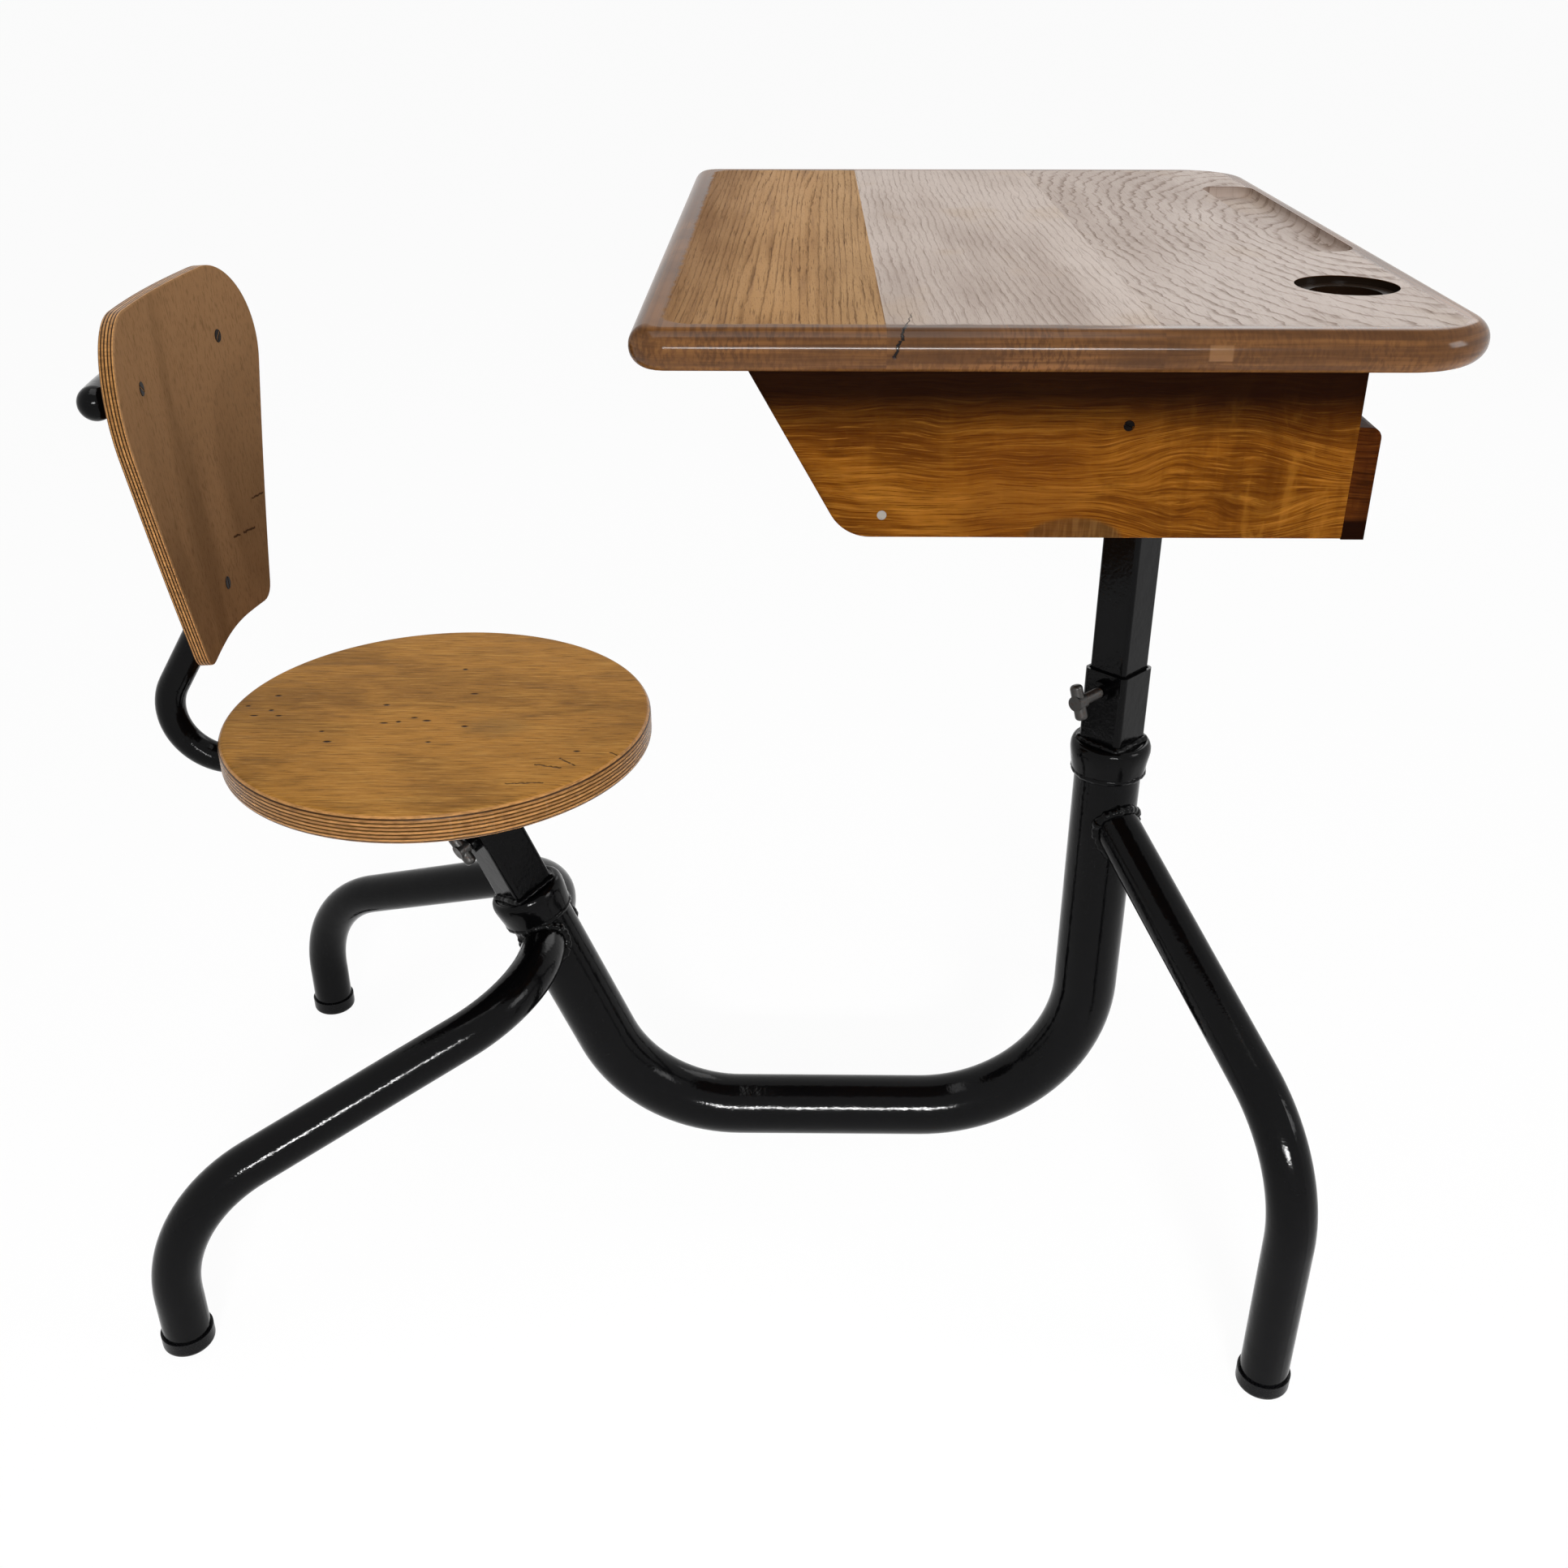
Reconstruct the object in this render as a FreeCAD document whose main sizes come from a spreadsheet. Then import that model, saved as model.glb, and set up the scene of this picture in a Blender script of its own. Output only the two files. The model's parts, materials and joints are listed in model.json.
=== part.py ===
"""School desk and seat on one bent-tube frame.

The desk board and the seat each slide on a square post, held by a T-bar clamp screw.
The frame stands at the origin: +Z is up, +X runs from the seat to the desk, -Y is the sitter's right.
Sizes are in millimetres and angles in degrees, each named once in SIZES.
"""

import FreeCAD
import Part
import Sketcher

import math
import os
import re

SIZES = {
    # Clearances and the overrun of cutting tools
    "weld_gap": 0.1,
    "screw_gap": 0.15,
    "slide_gap": 0.5,
    "overrun": 30,
    # Main tube, bent to a U between the desk column and the leaning seat run
    "main_tube_diameter": 48.3,
    "main_tube_wall": 3,
    "column_bend_radius": 127,
    "seat_bend_radius": 115,
    "low_run_height": 54,
    "column_x": 285.5,
    "column_end_height": 390,
    "seat_axis_x": -66.5,
    "seat_axis_lean": 22.3,
    # Legs, welded to the main tube
    "leg_diameter": 33.7,
    "leg_wall": 2.6,
    "desk_foot_x": 391,
    "desk_foot_side": 236.5,
    "desk_leg_gap": 30.5,
    "desk_leg_knee_height": 199,
    "desk_leg_knee_radius": 113,
    "desk_leg_left_azimuth": 78,
    "seat_foot_x": 388,
    "seat_foot_side": 207,
    "seat_leg_gap": 0.65,
    "seat_leg_elbow_side": 89,
    "seat_leg_elbow_radius": 88,
    "seat_leg_knee_height": 119,
    "seat_leg_knee_radius": 105,
    # Slip-on foot caps
    "cap_wall": 1.55,
    "cap_height": 13,
    "cap_floor": 5,
    "cap_rounding": 4,
    # Collars over the ends of the main tube
    "collar_wall": 2.5,
    "collar_skirt": 18.5,
    "collar_crown": 5,
    "collar_rounding": 4,
    # Square posts in their sleeves, set corner forward
    "sleeve_wall": 2,
    "sleeve_corner": 4,
    "desk_sleeve_length": 62,
    "seat_sleeve_length": 75,
    "post_side": 30,
    "post_wall": 2.5,
    "post_corner": 3,
    "corner_turn": 45,
    "desk_post_insert": 115,
    "seat_post_insert": 90,
    "seat_post_bare": 60.257,
    # Clamp screws
    "clamp_drop": 13,
    "clamp_shank_diameter": 8,
    "clamp_thread_gap": 0.2,
    "clamp_tip_gap": 0.2,
    "clamp_nut_diameter": 16,
    "clamp_nut_length": 5,
    "desk_clamp_gap": 18.5,
    "seat_clamp_gap": 1.5,
    "clamp_bar_length": 26,
    "clamp_bar_diameter": 9,
    "clamp_bar_rounding": 3,
    "clamp_bar_tilt": 18,
    "clamp_hub_diameter": 11,
    "clamp_hub_length": 9,
    "clamp_spigot_diameter": 5,
    "clamp_spigot_length": 7,
    # Countersunk wood screws, the finer screws of the locker sides and the floor nails
    "screw_head_diameter": 9,
    "screw_shank_diameter": 4.2,
    "screw_head_height": 2.4,
    "side_screw_head_diameter": 5.8,
    "side_screw_shank_diameter": 2.8,
    "side_screw_head_height": 1.6,
    "nail_head_diameter": 5,
    "nail_shank_diameter": 2.4,
    "nail_head_height": 1.2,
    # Desk top of three boards, with its inkwell hole and pen groove
    "top_height": 750,
    "top_thickness": 20.5,
    "top_width": 574,
    "top_rear_reach": 110,
    "top_side_overhang": 50,
    "board_front_depth": 123.5,
    "board_middle_depth": 131,
    "board_rear_depth": 166,
    "top_front_corner": 18,
    "top_rear_corner": 48,
    "top_edge_flat": 0.5,
    "inkwell_setback": 49.5,
    "inkwell_side_setback": 113,
    "inkwell_hole_diameter": 38,
    "inkwell_rim_diameter": 54,
    "inkwell_rim_depth": 4,
    "groove_land": 13,
    "groove_width": 36,
    "groove_length": 262,
    "groove_middle": 56,
    "groove_depth": 7,
    "groove_corner": 14,
    "groove_rounding": 5,
    # Steel head plate between the desk post and the top
    "head_plate_side": 120,
    "head_plate_thickness": 4,
    "head_plate_corner": 10,
    "head_screw_spacing": 90,
    "head_screw_bite": 14,
    # Locker under the top
    "locker_height": 98,
    "locker_rear_x": 58,
    "locker_top_reach": 260,
    "locker_bottom_reach": 204.5,
    "locker_side_thickness": 15,
    "locker_nose": 24,
    "locker_softening": 2,
    "floor_lift": 7,
    "floor_thickness": 11,
    "floor_front_setback": 8.5,
    "floor_post_room": 4,
    "floor_nail_setback": 11.5,
    "floor_nail_bite": 20,
    "rail_thickness": 12,
    "rail_height": 60,
    "rail_rounding": 6,
    "rail_screw_bite": 28,
    "rail_screw_rise": 14,
    "rail_screw_drop": 15,
    # Cleats that hold the boards together and carry the locker sides
    "cleat_thickness": 22,
    "cleat_height": 48,
    "cleat_front_setback": 7.8,
    "cleat_rear_gap": 13,
    "cleat_screw_bite": 12,
    "side_screw_reach": 59.5,
    "side_screw_drop": 37.5,
    "side_screw_bite": 15,
    # Round plywood seat on its steel plate
    "seat_height": 413,
    "seat_thickness": 22,
    "seat_diameter": 308,
    "seat_rounding": 5,
    "seat_setback": 2,
    "seat_plate_side": 120,
    "seat_plate_thickness": 6,
    "seat_plate_corner": 10,
    "seat_screw_spacing": 96,
    "seat_screw_bite": 12,
    # Back tube, cross tube and bent plywood panel
    "back_tube_diameter": 21.3,
    "back_tube_wall": 2,
    "back_tube_start": 26,
    "back_bend_reach": 227,
    "back_bend_radius": 40,
    "back_crook_drop": 25,
    "back_crook_radius": 60,
    "cross_tube_diameter": 21.3,
    "cross_tube_wall": 2,
    "cross_tube_half_length": 102,
    "panel_reach": 137,
    "panel_screw_over_seat": 100,
    "panel_lean": 3.2,
    "panel_thickness": 10,
    "panel_curve_radius": 650,
    "panel_screw_rise": 154,
    "panel_screw_side": 72,
    "panel_screw_bite": 3,
    "panel_foot_drop": 37,
    "panel_foot_half_width": 67,
    "panel_foot_corner": 14,
    "panel_arch_rise": 6,
    "panel_arch_radius": 300,
    "panel_shoulder_rise": 201,
    "panel_shoulder_half_width": 150,
    "panel_shoulder_corner": 57,
    "panel_half_angle": 20,
}

# Where the cleat screws stand, as shares of the cleat's run under each board, from the front
CLEAT_SCREW_SHARES = (0.55, 0.5, 0.7)

Vector = FreeCAD.Vector
Rotation = FreeCAD.Rotation
Placement = FreeCAD.Placement
UP = Vector(0, 0, 1)
FORWARD = Vector(1, 0, 0)
RIGHT, LEFT = -1, 1
SAME = 1e-6

doc = FreeCAD.newDocument("SchoolDesk")
sheet = doc.addObject("Spreadsheet::Sheet", "Sizes")
for row, (alias, number) in enumerate(SIZES.items(), start=1):
    sheet.set(f"A{row}", alias)
    sheet.set(f"B{row}", str(number))
    sheet.setAlias(f"B{row}", alias)
doc.recompute()


# Sizes and formulas

def formula(text):
    """The text with every size name pointed at its cell in the sheet."""
    return re.sub(r"[a-z_]+", lambda word: f"Sizes.{word[0]}" if word[0] in SIZES else word[0], str(text))


def size(text):
    """The present value of a size, or of a sum of sizes."""
    return float(sheet.evalExpression(formula(text)))


def bind(item, **sums):
    """Tie properties of an object to sums of sizes."""
    for name, text in sums.items():
        item.setExpression(name, formula(text))
    return item


def point(x, y, z):
    """A place whose coordinates are sums of sizes."""
    return Vector(size(x), size(y), size(z))


# Sketches

def new_sketch(body, role, name, offset=0):
    """A sketch on one of the body's own origin planes, moved along its normal."""
    sketch = body.newObject("Sketcher::SketchObject", name)
    plane = next(item for item in body.Origin.OriginFeatures if item.Role == role)
    sketch.AttachmentSupport = [(plane, "")]
    sketch.MapMode = "FlatFace"
    sketch.setExpression("AttachmentOffset.Base.z", formula(offset))
    return sketch


def drive(sketch, text, kind, *parts):
    """A dimension of a sketch, driven by a sum of sizes."""
    index = sketch.addConstraint(Sketcher.Constraint(kind, *parts, size(text)))
    sketch.setExpression(f"Constraints[{index}]", formula(text))


def pin(sketch, geometry, vertex, x, y):
    """Hold a sketch point at x, y."""
    drive(sketch, x, "DistanceX", -1, 1, geometry, vertex)
    drive(sketch, y, "DistanceY", -1, 1, geometry, vertex)


def circle(sketch, diameter, x=0, y=0):
    """A circle held by its centre and radius."""
    radius = f"({diameter}) / 2"
    index = sketch.addGeometry(Part.Circle(point(x, y, 0), UP, size(radius)))
    drive(sketch, radius, "Radius", index)
    pin(sketch, index, 3, x, y)


def bend(before, corner, after, radius):
    """The two tangent points and the middle of the arc that rounds a corner."""
    back = (before - corner).normalize()
    ahead = (after - corner).normalize()
    half = back.getAngle(ahead) / 2
    middle = (back + ahead).normalize()
    centre = corner + middle * (radius / math.sin(half))
    reach = radius / math.tan(half)
    return corner + back * reach, centre - middle * radius, corner + ahead * reach


def outline(sketch, corners, closed=True):
    """Straight runs through corners given as (x, y) or, where the corner is rounded, (x, y, radius)."""
    places = [point(corner[0], corner[1], 0) for corner in corners]
    count = len(corners)
    arrive = list(places)
    leave = list(places)
    arcs = {}
    for i, corner in enumerate(corners):
        if len(corner) == 3:
            before, after = places[i - 1], places[(i + 1) % count]
            arrive[i], middle, leave[i] = bend(before, places[i], after, size(corner[2]))
            turns_left = (places[i] - before).cross(after - places[i]).z > 0
            arcs[i] = (sketch.addGeometry(Part.Arc(arrive[i], middle, leave[i])), turns_left)
    runs = {}
    for i in range(count if closed else count - 1):
        runs[i] = sketch.addGeometry(Part.LineSegment(leave[i], arrive[(i + 1) % count]))
    for i, corner in enumerate(corners):
        run_in = runs.get((i - 1) % count if closed else i - 1)
        run_out = runs.get(i)
        if i in arcs:
            arc, turns_left = arcs[i]
            first, last = (1, 2) if turns_left else (2, 1)
            mark = sketch.addGeometry(Part.Point(places[i]), True)
            pin(sketch, mark, 1, corner[0], corner[1])
            sketch.addConstraint(Sketcher.Constraint("PointOnObject", mark, 1, run_in))
            sketch.addConstraint(Sketcher.Constraint("PointOnObject", mark, 1, run_out))
            sketch.addConstraint(Sketcher.Constraint("Tangent", run_in, 2, arc, first))
            sketch.addConstraint(Sketcher.Constraint("Tangent", arc, last, run_out, 1))
            drive(sketch, corner[2], "Radius", arc)
        elif run_out is None:
            pin(sketch, run_in, 2, corner[0], corner[1])
        else:
            pin(sketch, run_out, 1, corner[0], corner[1])
            if run_in is not None:
                sketch.addConstraint(Sketcher.Constraint("Coincident", run_in, 2, run_out, 1))


def rectangle(sketch, x_low, x_high, y_low, y_high, radius=None):
    """A rectangle, with its corners rounded where a radius is given."""
    corners = [(x_low, y_low), (x_high, y_low), (x_high, y_high), (x_low, y_high)]
    outline(sketch, [corner + (radius,) for corner in corners] if radius else corners)


def square(sketch, side, radius):
    """A rounded square about the sketch's origin."""
    half = f"({side}) / 2"
    rectangle(sketch, f"-{half}", half, f"-{half}", half, radius)


# Features

def new_body(label, placement=Placement()):
    """An empty body, named and placed."""
    body = doc.addObject("PartDesign::Body", label)
    body.Label = label
    body.Placement = placement
    return body


def pad(body, sketch, length, symmetric=False):
    """A sketch raised along its normal."""
    feature = body.newObject("PartDesign::Pad", f"{sketch.Name}_pad")
    feature.Profile = sketch
    feature.SideType = "Symmetric" if symmetric else "One side"
    bind(feature, Length=length)
    doc.recompute()
    return feature


def pocket(body, sketch, depth=None):
    """A sketch cut into the body, against its normal or, with no depth, right through both ways."""
    feature = body.newObject("PartDesign::Pocket", f"{sketch.Name}_pocket")
    feature.Profile = sketch
    if depth is None:
        feature.SideType = "Symmetric"
        feature.Type = "ThroughAll"
    else:
        bind(feature, Length=depth)
    doc.recompute()
    return feature


def fillet(body, base, radius, chosen):
    """Round those edges of the last feature that the test picks."""
    names = [f"Edge{i}" for i, edge in enumerate(base.Shape.Edges, start=1) if chosen(edge.BoundBox)]
    feature = body.newObject("PartDesign::Fillet", f"{base.Name}_fillet")
    feature.Base = (base, names)
    bind(feature, Radius=radius)
    doc.recompute()
    return feature


def level_at(text):
    """A test for edges that lie level at a height of the body's own frame."""
    height = size(text)
    return lambda box: max(abs(box.ZMin - height), abs(box.ZMax - height)) < SAME


def pipe(label, role, start, centre, corners, diameter, wall, placement=Placement()):
    """A round tube along a bent path in the XZ plane, drawn on the plane that the path starts from."""
    body = new_body(label, placement)
    path = new_sketch(body, "XZ_Plane", f"{label}_path")
    outline(path, corners, closed=False)
    ring = new_sketch(body, role, f"{label}_ring", start)
    circle(ring, diameter, *centre)
    circle(ring, f"{diameter} - 2 * {wall}", *centre)
    doc.recompute()
    feature = body.newObject("PartDesign::AdditivePipe", f"{label}_pipe")
    feature.Profile = ring
    feature.Spine = path
    doc.recompute()
    return body


def square_tube(label, side, wall, corner, low, high, placement):
    """A square tube along its frame's Z axis, turned corner forward."""
    body = new_body(label, placement * Placement(Vector(), Rotation(UP, size("corner_turn"))))
    section = new_sketch(body, "XY_Plane", f"{label}_section", low)
    square(section, side, corner)
    square(section, f"{side} - 2 * {wall}", f"{corner} / 2")
    pad(body, section, f"{high} - ({low})")
    return body


def solid(kind, label, placement=Placement(), **sums):
    """A primitive whose sizes are sums of sizes."""
    item = doc.addObject(f"Part::{kind}", label)
    item.Label = label
    item.Placement = placement
    return bind(item, **sums)


def cut(label, base, tool):
    """What is left of the base outside the tool."""
    result = doc.addObject("Part::Cut", label)
    result.Label = label
    result.Base = base
    result.Tool = tool
    doc.recompute()
    return result


def fuse(label, items):
    """Several solids joined as one piece."""
    result = doc.addObject("Part::MultiFuse", label)
    result.Label = label
    result.Shapes = items
    result.Refine = True
    doc.recompute()
    return result


def common(label, base, tool):
    """What the base and the tool share."""
    result = doc.addObject("Part::Common", label)
    result.Label = label
    result.Base = base
    result.Tool = tool
    doc.recompute()
    return result


def shaped(label, shape):
    """A piece whose shape is worked out here."""
    item = doc.addObject("Part::Feature", label)
    item.Label = label
    item.Shape = shape
    return item


# Fasteners

def fastener(kind, length, gap="0"):
    """A countersunk screw or nail with its head at the origin, pointing along -Z."""
    head = size(f"{kind}_head_diameter / 2 + {gap}")
    shank = size(f"{kind}_shank_diameter / 2 + {gap}")
    depth = size(f"{kind}_head_height")
    tip = size(f"{length} + {gap}")
    cone = Part.makeCone(head, shank, depth, Vector(), -UP)
    rod = Part.makeCylinder(shank, tip - depth, Vector(0, 0, -depth), -UP)
    return cone.fuse(rod).removeSplitter()


def fasteners(label, kind, length, places):
    """A set of like fasteners as one node, and the holes that they need."""
    screw = fastener(kind, length)
    hole = fastener(kind, length, "screw_gap")
    lip = Part.makeCylinder(size(f"{kind}_head_diameter / 2 + screw_gap"), size("overrun"))
    hole = hole.fuse(lip)
    shaped(label, Part.makeCompound([screw.transformed(place.toMatrix()) for place in places]))
    return [hole.transformed(place.toMatrix()) for place in places]


def drill(label, blank, holes):
    """A piece with fastener holes in it."""
    return cut(label, blank, shaped(f"{label}_holes", Part.makeCompound(holes)))


def pointing(direction, base):
    """A placement at the base that turns a fastener's -Z to the direction."""
    return Placement(base, Rotation(-UP, direction))


# Sums that several pieces share
COLLAR_DIAMETER = "(main_tube_diameter + 2 * weld_gap + 2 * collar_wall)"
CAP_DIAMETER = "(leg_diameter + 2 * weld_gap + 2 * cap_wall)"
DESK_LEG_DROP = "(collar_skirt + desk_leg_gap)"
SEAT_LEG_DROP = "(collar_skirt + leg_diameter / 2 + seat_leg_gap)"
SLEEVE_SIDE = "(post_side + 2 * slide_gap + 2 * sleeve_wall)"
UNDER_TOP = "(top_height - top_thickness)"
UNDER_HEAD_PLATE = f"({UNDER_TOP} - head_plate_thickness)"
LOCKER_LOW = f"({UNDER_TOP} - locker_height)"
UNDER_SEAT = "(seat_height - seat_thickness)"
UNDER_SEAT_PLATE = f"({UNDER_SEAT} - seat_plate_thickness)"
SEAT_RISE = (f"(({UNDER_SEAT_PLATE} - low_run_height) / cos(seat_axis_lean)"
             " - seat_post_bare - seat_sleeve_length)")
SEAT_X = f"(seat_axis_x - ({UNDER_SEAT_PLATE} - low_run_height) * tan(seat_axis_lean) - seat_setback)"
TOP_DEPTH = "(board_front_depth + board_middle_depth + board_rear_depth)"
TOP_FRONT = f"(column_x + top_rear_reach - {TOP_DEPTH})"
LOCKER_HALF = "(top_width / 2 - top_side_overhang)"
LOCKER_REAR = "(column_x + locker_rear_x)"
FLOOR_REACH = "(locker_bottom_reach - floor_front_setback)"
RAKE_AT_CLEAT = "(locker_top_reach - locker_bottom_reach) * cleat_height / locker_height"
CLEAT_REACH = f"(locker_top_reach - {RAKE_AT_CLEAT} - cleat_front_setback)"
PANEL_HEIGHT = "(seat_height + panel_screw_over_seat)"
PANEL_X = f"({SEAT_X} - panel_reach)"
BACK_TUBE_HEIGHT = f"({UNDER_SEAT_PLATE} - back_tube_diameter / 2)"

# Shared frames: the two ends of the main tube, and the clamps on their sleeves

SEAT_LEAN = Rotation(Vector(0, 1, 0), -size("seat_axis_lean"))
DESK_END = Placement(point("column_x", 0, "column_end_height"), Rotation())
SEAT_CORNER = point("seat_axis_x", 0, "low_run_height")
SEAT_END = Placement(SEAT_CORNER + SEAT_LEAN.multVec(point(0, 0, SEAT_RISE)), SEAT_LEAN)
CLAMP_OUT = Vector(-1, -1, 0).normalize()
CLAMP_TURN = Rotation(UP.cross(CLAMP_OUT), UP, CLAMP_OUT, "ZYX")
ENDS = {"desk": DESK_END, "seat": SEAT_END}
CLAMPS = {name: end * Placement(point(0, 0, f"{name}_sleeve_length - clamp_drop"), CLAMP_TURN)
          for name, end in ENDS.items()}


# Frame

def main_tube():
    """One pipe from the desk column, along the low run and up the leaning seat run."""
    corners = [
        ("column_x", "column_end_height"),
        ("column_x", "low_run_height", "column_bend_radius"),
        ("seat_axis_x", "low_run_height", "seat_bend_radius"),
        (f"seat_axis_x - {SEAT_RISE} * sin(seat_axis_lean)",
         f"low_run_height + {SEAT_RISE} * cos(seat_axis_lean)"),
    ]
    pipe("main_tube", "XY_Plane", "column_end_height", ("column_x", 0), corners,
         "main_tube_diameter", "main_tube_wall")


def collar(label, end):
    """A turned cap over the pipe's end, with a square hole for the sleeve."""
    body = new_body(label, end)
    disc = new_sketch(body, "XY_Plane", f"{label}_disc", "-collar_skirt")
    circle(disc, COLLAR_DIAMETER)
    blank = pad(body, disc, "collar_skirt + collar_crown")
    fillet(body, blank, "collar_rounding", level_at("collar_crown"))
    bore = new_sketch(body, "XY_Plane", f"{label}_bore")
    circle(bore, "main_tube_diameter + 2 * weld_gap")
    pocket(body, bore, "collar_skirt")
    hole = new_sketch(body, "XY_Plane", f"{label}_hole")
    square(hole, f"{SLEEVE_SIDE} + 2 * weld_gap", "sleeve_corner")
    hole.setExpression("AttachmentOffset.Rotation.Angle", formula("corner_turn"))
    pocket(body, hole)


def sleeve(name):
    """A square tube on the pipe's end, with a hole for its clamp screw."""
    blank = square_tube(f"{name}_sleeve_blank", SLEEVE_SIDE, "sleeve_wall", "sleeve_corner", 0,
                        f"{name}_sleeve_length", ENDS[name])
    hole = solid("Cylinder", f"{name}_sleeve_hole", CLAMPS[name],
                 Radius="clamp_shank_diameter / 2 + clamp_thread_gap", Height=SLEEVE_SIDE)
    cut(f"{name}_sleeve", blank, hole)


def clamp(name):
    """The nut on the sleeve, the screw's shank and the T-bar at its end."""
    def along(distance):
        return CLAMPS[name] * Placement(point(0, 0, distance), Rotation())

    face = f"{SLEEVE_SIDE} / 2"
    tip = "(post_side / 2 + clamp_tip_gap)"
    hub_foot = f"({face} + clamp_nut_length + {name}_clamp_gap)"
    bar_place = f"({hub_foot} + clamp_hub_length / 2)"
    ring = solid("Cylinder", f"{name}_clamp_nut_ring", along(face), Radius="clamp_nut_diameter / 2",
                 Height="clamp_nut_length")
    bore = solid("Cylinder", f"{name}_clamp_nut_bore", along(face),
                 Radius="clamp_shank_diameter / 2 + clamp_thread_gap", Height="clamp_nut_length")
    cut(f"{name}_clamp_nut", ring, bore)

    rod = solid("Cylinder", f"{name}_clamp_rod", along(tip), Radius="clamp_shank_diameter / 2",
                Height=f"{hub_foot} - {tip} - weld_gap")
    spigot = solid("Cylinder", f"{name}_clamp_spigot", along(hub_foot), Radius="clamp_spigot_diameter / 2",
                   Height="clamp_spigot_length")
    neck = solid("Cylinder", f"{name}_clamp_neck", along(f"{hub_foot} - weld_gap"),
                 Radius="clamp_spigot_diameter / 2", Height="weld_gap")
    fuse(f"{name}_clamp_shank", [rod, neck, spigot])

    across = Rotation(UP, size("clamp_bar_tilt")) * Rotation(UP, Vector(0, 1, 0))
    bar = solid("Cylinder", f"{name}_clamp_bar_rod", Radius="clamp_bar_diameter / 2",
                Height="clamp_bar_length")
    bar.Placement = along(bar_place) * Placement(Vector(), across) * Placement(
        point(0, 0, "-clamp_bar_length / 2"), Rotation())
    hub = solid("Cylinder", f"{name}_clamp_hub", along(hub_foot), Radius="clamp_hub_diameter / 2",
                Height="clamp_hub_length")
    doc.recompute()
    rounded = doc.addObject("Part::Fillet", f"{name}_clamp_bar_rounded")
    rounded.Base = bar
    rims = [i for i, edge in enumerate(bar.Shape.Edges, start=1) if edge.Curve.TypeId == "Part::GeomCircle"]
    rounded.Edges = [(i, size("clamp_bar_rounding"), size("clamp_bar_rounding")) for i in rims]
    blank = fuse(f"{name}_clamp_bar_blank", [rounded, hub])
    socket = solid("Cylinder", f"{name}_clamp_socket", along(hub_foot),
                   Radius="clamp_spigot_diameter / 2 + clamp_thread_gap",
                   Height="clamp_spigot_length + clamp_thread_gap")
    cut(f"{name}_clamp_bar", blank, socket)


def desk_leg(label, azimuth):
    """A bent leg from the desk column to the floor, coped to the column."""
    reach = "sqrt((desk_foot_x - column_x) * (desk_foot_x - column_x) + desk_foot_side * desk_foot_side)"
    corners = [
        (reach, "cap_floor"),
        (reach, "desk_leg_knee_height", "desk_leg_knee_radius"),
        (0, f"column_end_height - {DESK_LEG_DROP}"),
    ]
    stand = Placement(point("column_x", 0, 0), Rotation(UP, azimuth))
    body = pipe(label, "XY_Plane", "cap_floor", (reach, 0), corners, "leg_diameter", "leg_wall", stand)
    cope = new_sketch(body, "XY_Plane", f"{label}_cope")
    circle(cope, "main_tube_diameter + 2 * weld_gap")
    pocket(body, cope)


def seat_leg(label, side):
    """A leg that leaves the seat run sideways, sweeps back to its knee and stands upright."""
    joint = SEAT_END.multVec(point(0, 0, f"-{SEAT_LEG_DROP}"))
    elbow = joint + point(0, f"{side} * seat_leg_elbow_side", 0)
    knee = point("-seat_foot_x", f"{side} * seat_foot_side", "seat_leg_knee_height")
    foot = point("-seat_foot_x", f"{side} * seat_foot_side", "cap_floor")
    elbow_in, elbow_middle, elbow_out = bend(joint, elbow, knee, size("seat_leg_elbow_radius"))
    knee_in, knee_middle, knee_out = bend(elbow, knee, foot, size("seat_leg_knee_radius"))
    path = Part.Wire([
        Part.LineSegment(foot, knee_out).toShape(),
        Part.Arc(knee_out, knee_middle, knee_in).toShape(),
        Part.LineSegment(knee_in, elbow_out).toShape(),
        Part.Arc(elbow_out, elbow_middle, elbow_in).toShape(),
        Part.LineSegment(elbow_in, joint).toShape(),
    ])
    outer = size("leg_diameter / 2")
    rings = [Part.Wire(Part.makeCircle(radius, foot, UP)) for radius in (outer, outer - size("leg_wall"))]
    skin, bore = [path.makePipeShell([ring], True, False) for ring in rings]
    cope = Part.makeCylinder(size("main_tube_diameter / 2 + weld_gap"), size(SEAT_RISE),
                             SEAT_CORNER, SEAT_END.Base - SEAT_CORNER)
    shaped(label, skin.cut(bore).cut(cope))


def foot_cap(label, place):
    """A slip-on cap with a flat foot."""
    body = new_body(label, Placement(place, Rotation()))
    disc = new_sketch(body, "XY_Plane", f"{label}_disc")
    circle(disc, CAP_DIAMETER)
    blank = pad(body, disc, "cap_height")
    fillet(body, blank, "cap_rounding", level_at(0))
    bore = new_sketch(body, "XY_Plane", f"{label}_bore", "cap_height")
    circle(bore, "leg_diameter + 2 * weld_gap")
    pocket(body, bore, "cap_height - cap_floor")


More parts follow.
